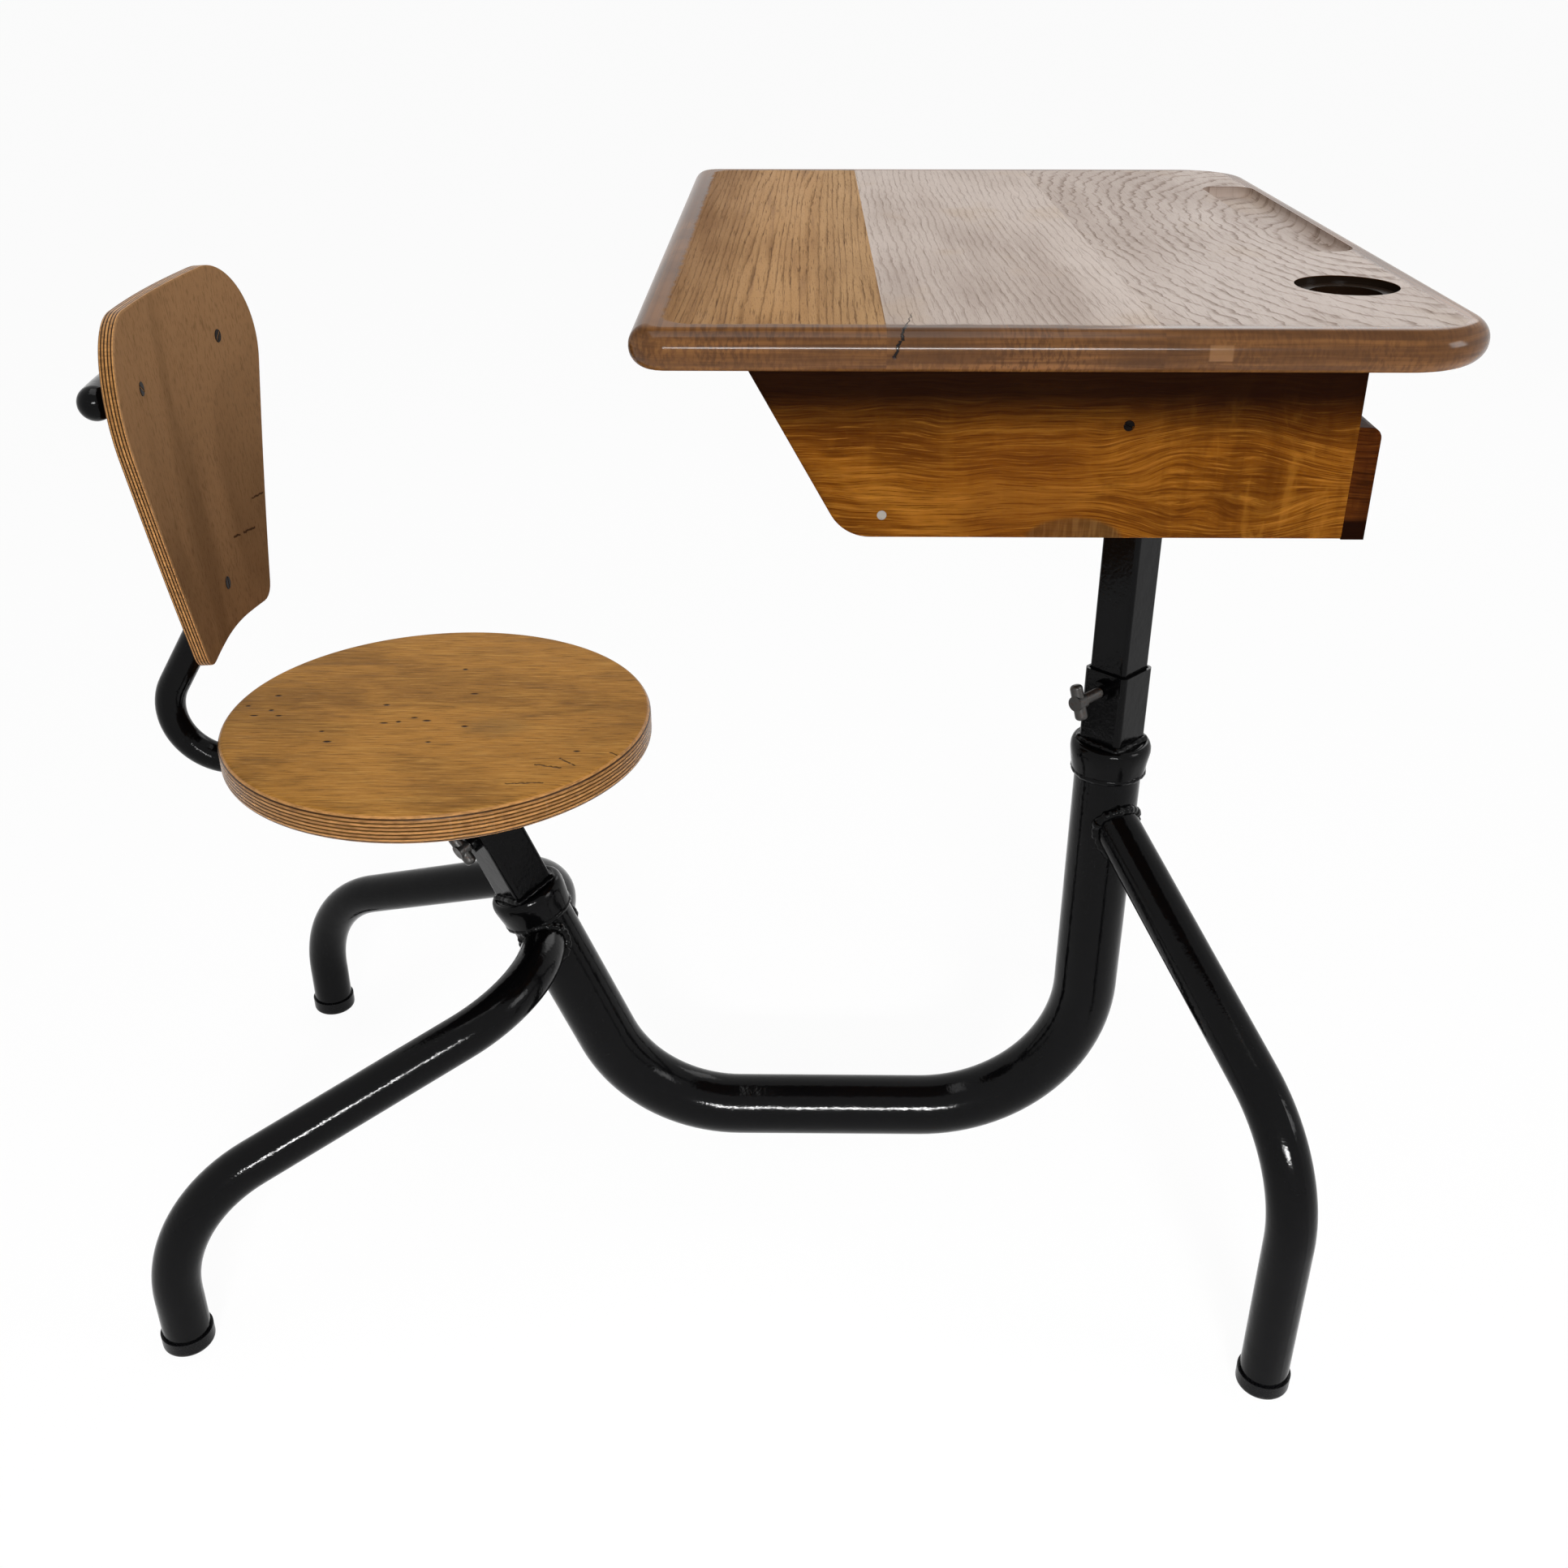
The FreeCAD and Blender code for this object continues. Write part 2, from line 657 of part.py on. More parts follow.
def frame():
    """The bent tube, its collars, sleeves and clamps, and the four legs."""
    main_tube()
    for name, end in ENDS.items():
        collar(f"{name}_collar", end)
        sleeve(name)
        clamp(name)
    right_azimuth = -math.degrees(math.atan2(size("desk_foot_side"), size("desk_foot_x - column_x")))
    azimuths = {"right": right_azimuth, "left": size("desk_leg_left_azimuth")}
    for name, side in (("right", RIGHT), ("left", LEFT)):
        azimuth = azimuths[name]
        desk_leg(f"desk_leg_{name}", azimuth)
        seat_leg(f"seat_leg_{name}", side)
        reach = math.hypot(size("desk_foot_side"), size("desk_foot_x - column_x"))
        desk_foot = point("column_x", 0, 0) + Rotation(UP, azimuth).multVec(FORWARD * reach)
        foot_cap(f"desk_foot_{name}", desk_foot)
        foot_cap(f"seat_foot_{name}", point("-seat_foot_x", f"{side} * seat_foot_side", 0))


# Desk

def plate(label, x, under, side, thickness, corner):
    """A square steel plate with rounded corners."""
    body = new_body(label, Placement(point(x, 0, under), Rotation()))
    shape = new_sketch(body, "XY_Plane", f"{label}_shape")
    square(shape, side, corner)
    pad(body, shape, thickness)
    return body


def plate_screws(label, x, under, spacing, length):
    """Four screws driven up through a plate."""
    half = f"{spacing} / 2"
    signs = (-1, 1)
    places = [pointing(UP, point(f"{x} + {a} * {half}", f"{b} * {half}", under))
              for a in signs for b in signs]
    return fasteners(label, "screw", length, places)


def top_blank():
    """The glued-up top: rounded corners, full bullnose, inkwell hole and pen groove."""
    body = new_body("top_blank", Placement(point("column_x", 0, UNDER_TOP), Rotation()))
    shape = new_sketch(body, "XY_Plane", "top_shape")
    front = f"top_rear_reach - {TOP_DEPTH}"
    outline(shape, [
        (front, "-top_width / 2", "top_front_corner"),
        ("top_rear_reach", "-top_width / 2", "top_rear_corner"),
        ("top_rear_reach", "top_width / 2", "top_rear_corner"),
        (front, "top_width / 2", "top_front_corner"),
    ])
    slab = pad(body, shape, "top_thickness")
    above, below = level_at("top_thickness"), level_at(0)
    fillet(body, slab, "(top_thickness - top_edge_flat) / 2", lambda box: above(box) or below(box))
    inkwell = ("top_rear_reach - inkwell_setback", "inkwell_side_setback - top_width / 2")
    rim = new_sketch(body, "XY_Plane", "inkwell_rim", "top_thickness")
    circle(rim, "inkwell_rim_diameter", *inkwell)
    pocket(body, rim, "inkwell_rim_depth")
    hole = new_sketch(body, "XY_Plane", "inkwell_hole", "top_thickness")
    circle(hole, "inkwell_hole_diameter", *inkwell)
    pocket(body, hole)
    groove = new_sketch(body, "XY_Plane", "pen_groove", "top_thickness")
    rectangle(groove, "top_rear_reach - groove_land - groove_width", "top_rear_reach - groove_land",
              "groove_middle - groove_length / 2", "groove_middle + groove_length / 2", "groove_corner")
    sunk = pocket(body, groove, "groove_depth")
    fillet(body, sunk, "groove_rounding", level_at("top_thickness - groove_depth"))
    return body


def cleats(joints):
    """Two battens across the boards, with the screws that hold them; gives the holes made in the boards."""
    start = f"(column_x - {CLEAT_REACH})"
    end = f"({LOCKER_REAR} - cleat_rear_gap)"
    low = f"({UNDER_TOP} - cleat_height)"
    inside = f"({LOCKER_HALF} - locker_side_thickness)"
    marks = [start, *joints, end]
    places = []
    for share, near, far in zip(CLEAT_SCREW_SHARES, marks, marks[1:]):
        for side in (RIGHT, LEFT):
            x = f"{near} + {share} * ({far} - {near})"
            places.append(pointing(UP, point(x, f"{side} * ({inside} - cleat_thickness / 2)", low)))
    holes = fasteners("cleat_screws", "screw", "(cleat_height + cleat_screw_bite)", places)
    side_places = [pointing(Vector(0, -side, 0),
                            point("column_x - side_screw_reach", f"{side} * {LOCKER_HALF}",
                                  f"{UNDER_TOP} - side_screw_drop")) for side in (RIGHT, LEFT)]
    side_length = "(locker_side_thickness + side_screw_bite)"
    side_holes = fasteners("locker_side_screws", "side_screw", side_length, side_places)
    for name, low_y in (("right", f"-{inside}"), ("left", f"{inside} - cleat_thickness")):
        batten = solid("Box", f"top_cleat_{name}_blank", Placement(point(start, low_y, low), Rotation()),
                       Length=f"{end} - {start}", Width="cleat_thickness", Height="cleat_height")
        drill(f"top_cleat_{name}", batten, holes + side_holes)
    return holes, side_holes


def top():
    """Three boards sawn from the moulded top, with the plate, the cleats and their screws."""
    blank = top_blank()
    plate_holes = plate_screws("head_plate_screws", "column_x", UNDER_HEAD_PLATE, "head_screw_spacing",
                               "(head_plate_thickness + head_screw_bite)")
    drill("desk_head_plate", plate("head_plate_blank", "column_x", UNDER_HEAD_PLATE, "head_plate_side",
                                   "head_plate_thickness", "head_plate_corner"), plate_holes)
    first = f"({TOP_FRONT} + board_front_depth)"
    second = f"({TOP_FRONT} + board_front_depth + board_middle_depth)"
    boards = {
        "front": (TOP_FRONT, "board_front_depth"),
        "middle": (first, "board_middle_depth"),
        "rear": (second, "board_rear_depth"),
    }
    holes, side_holes = cleats((first, second))
    for name, (start, depth) in boards.items():
        corner = Placement(point(start, "-top_width / 2", UNDER_TOP), Rotation())
        saw = solid("Box", f"{name}_board_length", corner, Length=depth, Width="top_width",
                    Height="top_thickness")
        board = common(f"top_board_{name}_blank", blank, saw)
        drill(f"top_board_{name}", board, holes + plate_holes)
    return side_holes


def locker_side(label, inner, holes):
    """A side board with a raked front, rounded at its lower corner."""
    body = new_body(f"{label}_blank", Placement(point("column_x", 0, 0), Rotation()))
    shape = new_sketch(body, "XZ_Plane", f"{label}_shape", inner)
    outline(shape, [
        ("-locker_top_reach", UNDER_TOP),
        ("-locker_bottom_reach", LOCKER_LOW, "locker_nose"),
        ("locker_rear_x", LOCKER_LOW),
        ("locker_rear_x", UNDER_TOP),
    ])
    board = pad(body, shape, "locker_side_thickness")
    top, rear = size(UNDER_TOP), size("locker_rear_x")
    fillet(body, board, "locker_softening",
           lambda box: box.YLength < SAME and box.ZMin < top - SAME and box.XMin < rear - SAME)
    drill(label, body, holes)


def locker(side_holes):
    """Two sides, a floor with room for the post and a low back rail."""
    floor_low = f"({LOCKER_LOW} + floor_lift)"
    nails = [pointing(Vector(0, -side, 0),
                      point(f"column_x - {FLOOR_REACH} + floor_nail_setback", f"{side} * {LOCKER_HALF}",
                            f"{floor_low} + floor_thickness / 2")) for side in (RIGHT, LEFT)]
    nail_holes = fasteners("floor_nails", "nail", "(locker_side_thickness + floor_nail_bite)", nails)
    rail_places = [pointing(-FORWARD, point(f"{LOCKER_REAR} + rail_thickness",
                                            f"{side} * ({LOCKER_HALF} - locker_side_thickness / 2)",
                                            f"{LOCKER_LOW} + {height}"))
                   for side in (RIGHT, LEFT)
                   for height in ("rail_screw_rise", "rail_height - rail_screw_drop")]
    rail_holes = fasteners("back_rail_screws", "screw", "(rail_thickness + rail_screw_bite)", rail_places)
    for label, inner in (("locker_side_right", f"{LOCKER_HALF} - locker_side_thickness"),
                         ("locker_side_left", f"-{LOCKER_HALF}")):
        locker_side(label, inner, side_holes + nail_holes + rail_holes)

    floor = new_body("locker_floor_blank", Placement(point("column_x", 0, floor_low), Rotation()))
    inside = f"({LOCKER_HALF} - locker_side_thickness)"
    shape = new_sketch(floor, "XY_Plane", "floor_shape")
    rectangle(shape, f"-{FLOOR_REACH}", "locker_rear_x", f"-{inside}", inside)
    pad(floor, shape, "floor_thickness")
    gap = new_sketch(floor, "XY_Plane", "floor_gap")
    square(gap, "post_side + 2 * floor_post_room", "post_corner")
    gap.setExpression("AttachmentOffset.Rotation.Angle", formula("corner_turn"))
    pocket(floor, gap)
    drill("locker_floor", floor, nail_holes)

    rail = new_body("back_rail_blank")
    section = new_sketch(rail, "XZ_Plane", "rail_section")
    outline(section, [
        (LOCKER_REAR, LOCKER_LOW),
        (f"{LOCKER_REAR} + rail_thickness", LOCKER_LOW),
        (f"{LOCKER_REAR} + rail_thickness", f"{LOCKER_LOW} + rail_height", "rail_rounding"),
        (LOCKER_REAR, f"{LOCKER_LOW} + rail_height"),
    ])
    pad(rail, section, f"2 * {LOCKER_HALF}", symmetric=True)
    drill("locker_back_rail", rail, rail_holes)


def desk():
    """The post and all that rides on it."""
    square_tube("desk_post", "post_side", "post_wall", "post_corner", "-desk_post_insert",
                f"{UNDER_HEAD_PLATE} - column_end_height", DESK_END)
    locker(top())


# Seat

def seat_base():
    """The seat post, mitred under its plate, and the round plywood seat."""
    high = f"({UNDER_SEAT} - low_run_height) / cos(seat_axis_lean) - {SEAT_RISE} + overrun"
    blank = square_tube("seat_post_blank", "post_side", "post_wall", "post_corner", "-seat_post_insert", high,
                        SEAT_END)
    corner = point(f"{SEAT_X} - seat_plate_side / 2", "-seat_plate_side / 2", UNDER_SEAT_PLATE)
    mitre = solid("Box", "seat_post_mitre", Placement(corner, Rotation()),
                  Length="seat_plate_side", Width="seat_plate_side", Height="2 * overrun")
    cut("seat_post", blank, mitre)
    holes = plate_screws("seat_plate_screws", SEAT_X, UNDER_SEAT_PLATE, "seat_screw_spacing",
                         "(seat_plate_thickness + seat_screw_bite)")
    drill("seat_plate", plate("seat_plate_blank", SEAT_X, UNDER_SEAT_PLATE, "seat_plate_side",
                              "seat_plate_thickness", "seat_plate_corner"), holes)
    body = new_body("seat_disc_blank", Placement(point(SEAT_X, 0, UNDER_SEAT), Rotation()))
    disc = new_sketch(body, "XY_Plane", "seat_shape")
    circle(disc, "seat_diameter")
    slab = pad(body, disc, "seat_thickness")
    above, below = level_at("seat_thickness"), level_at(0)
    fillet(body, slab, "seat_rounding", lambda box: above(box) or below(box))
    drill("seat_disc", body, holes)


def back_rest():
    """A bent plywood panel on a cross tube, carried by the back tube from under the seat."""
    lean = Rotation(Vector(0, 1, 0), -size("panel_lean"))
    stand = Placement(point(PANEL_X, 0, PANEL_HEIGHT), lean)
    axis = stand * Placement(point("panel_curve_radius", 0, 0), Rotation())

    def around(angle, z):
        """A placement on the panel's axis of curvature, facing the given angle from straight back."""
        return axis * Placement(point(0, 0, z), Rotation(UP, math.degrees(math.pi) + angle))

    face_screw = Placement(point("panel_curve_radius", 0, 0), Rotation(-UP, FORWARD))
    spread = math.degrees(math.asin(size("panel_screw_side / panel_curve_radius")))
    places = [around(angle, height) * face_screw
              for angle, height in ((0, 0), (-spread, "panel_screw_rise"), (spread, "panel_screw_rise"))]
    holes = fasteners("back_panel_screws", "screw", "(panel_thickness + panel_screw_bite)", places)

    sweep = "2 * panel_half_angle"
    low, tall = "-panel_foot_drop - overrun", "panel_foot_drop + panel_shoulder_rise + 2 * overrun"
    start = around(-size("panel_half_angle"), low)
    rear = solid("Cylinder", "panel_rear", start, Radius="panel_curve_radius + panel_thickness", Height=tall,
                 Angle=sweep)
    front = solid("Cylinder", "panel_front", axis * Placement(point(0, 0, low), Rotation()),
                  Radius="panel_curve_radius", Height=tall)
    sheet_bent = cut("panel_sheet", rear, front)
    shield = new_body("panel_shield", stand)
    shape = new_sketch(shield, "YZ_Plane", "shield_shape")
    outline(shape, [
        ("-panel_foot_half_width", "-panel_foot_drop", "panel_foot_corner"),
        (0, "panel_arch_rise - panel_foot_drop", "panel_arch_radius"),
        ("panel_foot_half_width", "-panel_foot_drop", "panel_foot_corner"),
        ("panel_shoulder_half_width", "panel_shoulder_rise", "panel_shoulder_corner"),
        ("-panel_shoulder_half_width", "panel_shoulder_rise", "panel_shoulder_corner"),
    ])
    pad(shield, shape, "panel_curve_radius", symmetric=True)
    drill("back_panel", common("panel_blank", sheet_bent, shield), holes)

    ring = "panel_curve_radius + panel_thickness + weld_gap + cross_tube_diameter / 2"
    half_angle = math.degrees(size(f"cross_tube_half_length / ({ring})"))

    def bow(label, radius):
        """A length of bent bar round the panel's axis of curvature."""
        item = solid("Torus", label, around(-half_angle, "panel_screw_rise"), Radius1=ring, Radius2=radius)
        item.Angle3 = 2 * half_angle
        return item

    domes = []
    for name, angle in (("right", half_angle), ("left", -half_angle)):
        end = around(angle, "panel_screw_rise") * Placement(point(ring, 0, 0), Rotation())
        domes.append(solid("Sphere", f"cross_tube_dome_{name}", end, Radius="cross_tube_diameter / 2"))
    bar = fuse("cross_tube_bar", [bow("cross_tube_bow", "cross_tube_diameter / 2")] + domes)
    bore = bow("cross_tube_bore", "cross_tube_diameter / 2 - cross_tube_wall")
    drill("back_cross_tube", cut("cross_tube_hollow", bar, bore), holes)

    behind = "(panel_thickness + weld_gap + back_tube_diameter / 2)"
    corners = [
        (f"{SEAT_X} - back_tube_start", BACK_TUBE_HEIGHT),
        (f"{SEAT_X} - back_bend_reach", BACK_TUBE_HEIGHT, "back_bend_radius"),
        (f"{PANEL_X} - {behind} * cos(panel_lean) + back_crook_drop * sin(panel_lean)",
         f"{PANEL_HEIGHT} - {behind} * sin(panel_lean) - back_crook_drop * cos(panel_lean)",
         "back_crook_radius"),
        (f"{PANEL_X} - {behind} * cos(panel_lean) - panel_screw_rise * sin(panel_lean)",
         f"{PANEL_HEIGHT} - {behind} * sin(panel_lean) + panel_screw_rise * cos(panel_lean)"),
    ]
    tube = pipe("back_tube_blank", "YZ_Plane", f"{SEAT_X} - back_tube_start", (0, BACK_TUBE_HEIGHT), corners,
                "back_tube_diameter", "back_tube_wall")
    coped = cut("back_tube_coped", tube, bow("back_tube_cope", "cross_tube_diameter / 2 + weld_gap"))
    drill("back_tube", coped, holes)


def seat():
    """The seat and its back rest, which ride on the leaning post."""
    seat_base()
    back_rest()


NODES = (
    "main_tube desk_collar desk_sleeve desk_clamp_nut seat_collar seat_sleeve seat_clamp_nut "
    "desk_leg_right desk_leg_left seat_leg_right seat_leg_left "
    "desk_foot_right desk_foot_left seat_foot_right seat_foot_left "
    "desk_clamp_shank desk_clamp_bar seat_clamp_shank seat_clamp_bar "
    "desk_post desk_head_plate head_plate_screws top_board_front top_board_middle top_board_rear "
    "top_cleat_right top_cleat_left cleat_screws locker_side_right locker_side_left locker_side_screws "
    "locker_floor floor_nails locker_back_rail back_rail_screws "
    "seat_post seat_plate seat_plate_screws seat_disc "
    "back_tube back_cross_tube back_panel back_panel_screws"
).split()


def export():
    """Write every node, once the whole document is sound."""
    doc.recompute()
    failed = [item.Label for item in doc.Objects if {"Invalid", "Error"} & set(item.State)]
    pieces = {label: doc.getObjectsByLabel(label)[0].Shape for label in NODES}
    for label, shape in pieces.items():
        if shape.isNull() or not shape.isValid() or not shape.Solids:
            failed.append(label)
    if failed:
        raise RuntimeError(f"not sound: {failed}")
    os.makedirs("parts", exist_ok=True)
    for label, shape in pieces.items():
        shape.exportStep(f"parts/{label}.step")


frame()
desk()
seat()
export()
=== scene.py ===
"""School desk with attached seat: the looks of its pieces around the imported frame.

Metres throughout. +Z is up, +X runs from the seat to the desk, -Y is the sitter's right.
"""

import json
import math
from functools import partialmethod
from types import SimpleNamespace as Values

import bmesh
import bpy
from mathutils import Matrix, Vector, noise


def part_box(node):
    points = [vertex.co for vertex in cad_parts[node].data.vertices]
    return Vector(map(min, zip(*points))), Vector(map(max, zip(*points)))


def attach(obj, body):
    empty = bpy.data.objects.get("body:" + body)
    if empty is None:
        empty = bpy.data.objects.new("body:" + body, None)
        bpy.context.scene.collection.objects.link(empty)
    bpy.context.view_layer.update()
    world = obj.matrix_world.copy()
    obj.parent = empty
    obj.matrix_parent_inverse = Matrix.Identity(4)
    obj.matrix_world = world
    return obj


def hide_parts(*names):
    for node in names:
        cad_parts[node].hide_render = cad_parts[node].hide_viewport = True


bl_info = {
    "name": "School desk looks",
    "version": (1, 0, 0),
    "blender": (4, 5, 0),
    "location": "3D View > Sidebar > Desk",
    "description": "Paint, timber, weld seams and screws for a school desk with attached seat",
    "category": "Object",
}

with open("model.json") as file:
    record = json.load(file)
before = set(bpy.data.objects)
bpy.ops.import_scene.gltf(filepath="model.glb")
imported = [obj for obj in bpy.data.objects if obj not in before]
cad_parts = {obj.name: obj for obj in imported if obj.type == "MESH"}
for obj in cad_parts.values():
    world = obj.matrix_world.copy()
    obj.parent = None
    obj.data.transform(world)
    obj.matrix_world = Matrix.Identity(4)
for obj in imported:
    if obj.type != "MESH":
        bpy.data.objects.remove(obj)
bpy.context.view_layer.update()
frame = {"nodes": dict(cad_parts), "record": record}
NODES = frame["nodes"]
RECORD = frame["record"]

MM = 0.001
TURN = 2 * math.pi
UP = Vector((0, 0, 1))
FORWARD = Vector((1, 0, 0))
ACROSS = Vector((0, 1, 0))


# Settings that a user would change

def tone(name, colour, words):
    """A colour setting."""
    return bpy.props.FloatVectorProperty(
        name=name, description=words, subtype="COLOR", size=3, min=0.0, max=1.0, default=colour)


def length(name, default, words):
    """A length setting."""
    return bpy.props.FloatProperty(
        name=name, description=words, default=default, min=0.0, unit="LENGTH", precision=4)


class DeskTones(bpy.types.PropertyGroup):
    """Colours of the finishes."""
    paint: tone("Paint", (0.0016, 0.0016, 0.0018), "Gloss black on the steel frame")
    steel: tone("Clamp steel", (0.06, 0.058, 0.056), "Worn steel of the clamp screws")
    screw: tone("Screws", (0.005, 0.004, 0.0035), "Darkened screws")
    nail: tone("Nails", (0.34, 0.31, 0.27), "Bright nail heads")
    cap: tone("Foot caps", (0.0025, 0.0025, 0.0028), "Black foot caps")
    oak_warm: tone("Warm oak", (0.39, 0.205, 0.07), "Face of the front board")
    oak_brown: tone("Brown oak", (0.2, 0.092, 0.028), "Dark streaks of the front board")
    # The pale and grey tones of the middle and rear boards are partly their own colour, partly a
    # painted reflection of bright surroundings in the varnish
    oak_pale: tone("Pale oak", (0.47, 0.385, 0.333), "Bleached middle and rear boards")
    oak_grey: tone("Grey oak", (0.37, 0.295, 0.25), "Duller streaks of the pale boards")
    oak_line: tone("Oak pores", (0.15, 0.098, 0.07), "Open grain in the pale boards")
    oak_edge: tone("Oak edge", (0.112, 0.045, 0.013), "Rounded edges of the top")
    side: tone("Locker sides", (0.2, 0.066, 0.0058), "Golden varnish on the locker")
    side_light: tone("Locker lights", (0.37, 0.15, 0.018), "Pale figure in the locker sides")
    side_dark: tone("Locker darks", (0.07, 0.017, 0.0015), "Dark figure in the locker sides")
    rail: tone("Back rail", (0.06, 0.0145, 0.0022), "Red-brown back rail")
    seat: tone("Seat veneer", (0.42, 0.196, 0.04), "Golden veneer of the seat")
    seat_dark: tone("Seat stain", (0.22, 0.1, 0.021), "Dark streaks in the seat's veneer")
    back: tone("Back veneer", (0.28, 0.153, 0.072), "Brown veneer of the back panel")
    ply_light: tone("Ply light", (0.52, 0.255, 0.082), "Pale plies on sawn edges")
    ply_dark: tone("Ply dark", (0.085, 0.03, 0.008), "Dark plies on sawn edges")
    floor: tone("Floor", (0.8, 0.8, 0.8), "Plain pale floor")


class DeskSizes(bpy.types.PropertyGroup):
    """Sizes of the details."""
    bead: length("Weld bead", 0.0035, "Half the thickness of a weld seam")
    ripple: length("Weld ripple", 0.0048, "Distance between the ripples of a weld seam")
    ring: length("Growth ring", 0.0086, "Distance between growth rings, times each board's share")
    ply: length("Ply", 0.00275, "Thickness of one ply of the seat")
    back_ply: length("Back ply", 0.002, "Thickness of one ply of the back panel")
    ply_groove: length("Ply groove", 0.0004, "Depth of the lines between plies")
    slot_width: length("Screw slot", 0.0013, "Width of the slot in a screw head")
    slot_depth: length("Slot depth", 0.0011, "Depth of the slot in a screw head")
    pitch: length("Thread pitch", 0.0015, "Pitch of the clamp screw's thread")


class Shade:
    """Colours of wear, stains, figure, painted shade and painted reflection, laid over the tones.
    """
    thin_paint = (0.03, 0.029, 0.027)
    scuff = (0.04, 0.038, 0.035)
    rust = (0.055, 0.022, 0.009)
    front_gold = (0.43, 0.24, 0.095)
    front_rim = (0.17, 0.078, 0.022)
    front_glow = (0.46, 0.285, 0.13)
    front_pore = (0.095, 0.043, 0.016)
    # Paler streaks on the middle and rear boards: painted reflection
    sheen_streak = (0.54, 0.455, 0.4)
    handled = (0.41, 0.3, 0.205)
    rear_grey = (0.25, 0.195, 0.165)
    edge_light = (0.2, 0.084, 0.024)
    edge_dark = (0.06, 0.024, 0.008)
    edge_hatch = (0.035, 0.013, 0.005)
    sapwood = (0.27, 0.135, 0.055)
    # Browner walls of the pen groove: painted shade
    groove_wall_shade = (0.27, 0.17, 0.115)
    # Near black on the inkwell's ledge and in its bore: painted shade inside the hole
    ledge = (0.012, 0.007, 0.004)
    bore = (0.012, 0.006, 0.003)
    split = (0.008, 0.004, 0.002)
    rubbed_dark = (0.075, 0.036, 0.011)
    rubbed_light = (0.14, 0.07, 0.022)
    # Painted shade on the near locker side
    shade_patch = (0.12, 0.032, 0.004)
    # Near black band: painted shadow under the top's overhang; also the darker foot of the back
    # rail
    shadow_band = (0.008, 0.0018, 0.0005)
    rail_light = (0.1, 0.029, 0.0045)
    rail_dark = (0.02, 0.005, 0.001)
    glue = (0.016, 0.006, 0.002)
    seat_pale = (0.52, 0.272, 0.07)
    seat_brown = (0.17, 0.083, 0.02)
    seat_pore = (0.13, 0.06, 0.014)
    seat_gold = (0.6, 0.32, 0.085)
    seat_dirt = (0.12, 0.08, 0.035)
    seat_mark = (0.02, 0.009, 0.004)
    back_dark = (0.15, 0.079, 0.036)
    back_pale = (0.27, 0.155, 0.078)
    back_fleck = (0.085, 0.044, 0.02)
    back_crack = (0.03, 0.014, 0.007)
    white = (1.0, 1.0, 1.0)


# Finishes

class Nodes:
    """A node tree whose nodes are added one call at a time."""

    def __init__(self, tree):
        self.tree = tree

    def feed(self, socket, value):
        """Link a socket, or set its value."""
        if isinstance(value, bpy.types.NodeSocket):
            self.tree.links.new(value, socket)
        elif socket.type == "RGBA" and len(value) == 3:
            socket.default_value = (*value, 1.0)
        else:
            socket.default_value = value

    def node(self, kind, inputs=None, **settings):
        """A new node with its settings and inputs."""
        item = self.tree.nodes.new("ShaderNode" + kind)
        for key, value in settings.items():
            setattr(item, key, value)
        for key, value in (inputs or {}).items():
            self.feed(item.inputs[key], value)
        return item

    def step(self, kind, *values):
        """One step of arithmetic."""
        return self.node("Math", dict(enumerate(values)), operation=kind).outputs[0]

    plus = partialmethod(step, "ADD")
    less = partialmethod(step, "SUBTRACT")
    times = partialmethod(step, "MULTIPLY")
    over = partialmethod(step, "DIVIDE")
    scaled = partialmethod(step, "MULTIPLY_ADD")
    most = partialmethod(step, "MAXIMUM")
    least = partialmethod(step, "MINIMUM")
    size = partialmethod(step, "ABSOLUTE")
    below = partialmethod(step, "LESS_THAN")

    def span(self, value, low, high, start=0.0, end=1.0, kind="SMOOTHSTEP"):
        """A value's range mapped to another, held at both ends."""
        return self.node("MapRange", {0: value, 1: low, 2: high, 3: start, 4: end},
                         interpolation_type=kind).outputs[0]

    def seen(self):
        """1 for rays from the camera, reflections and clear things, 0 for those that light."""
        path = self.node("LightPath").outputs
        mirrored = self.most(path["Is Camera Ray"], path["Is Glossy Ray"])
        return self.most(mirrored, path["Is Transmission Ray"])


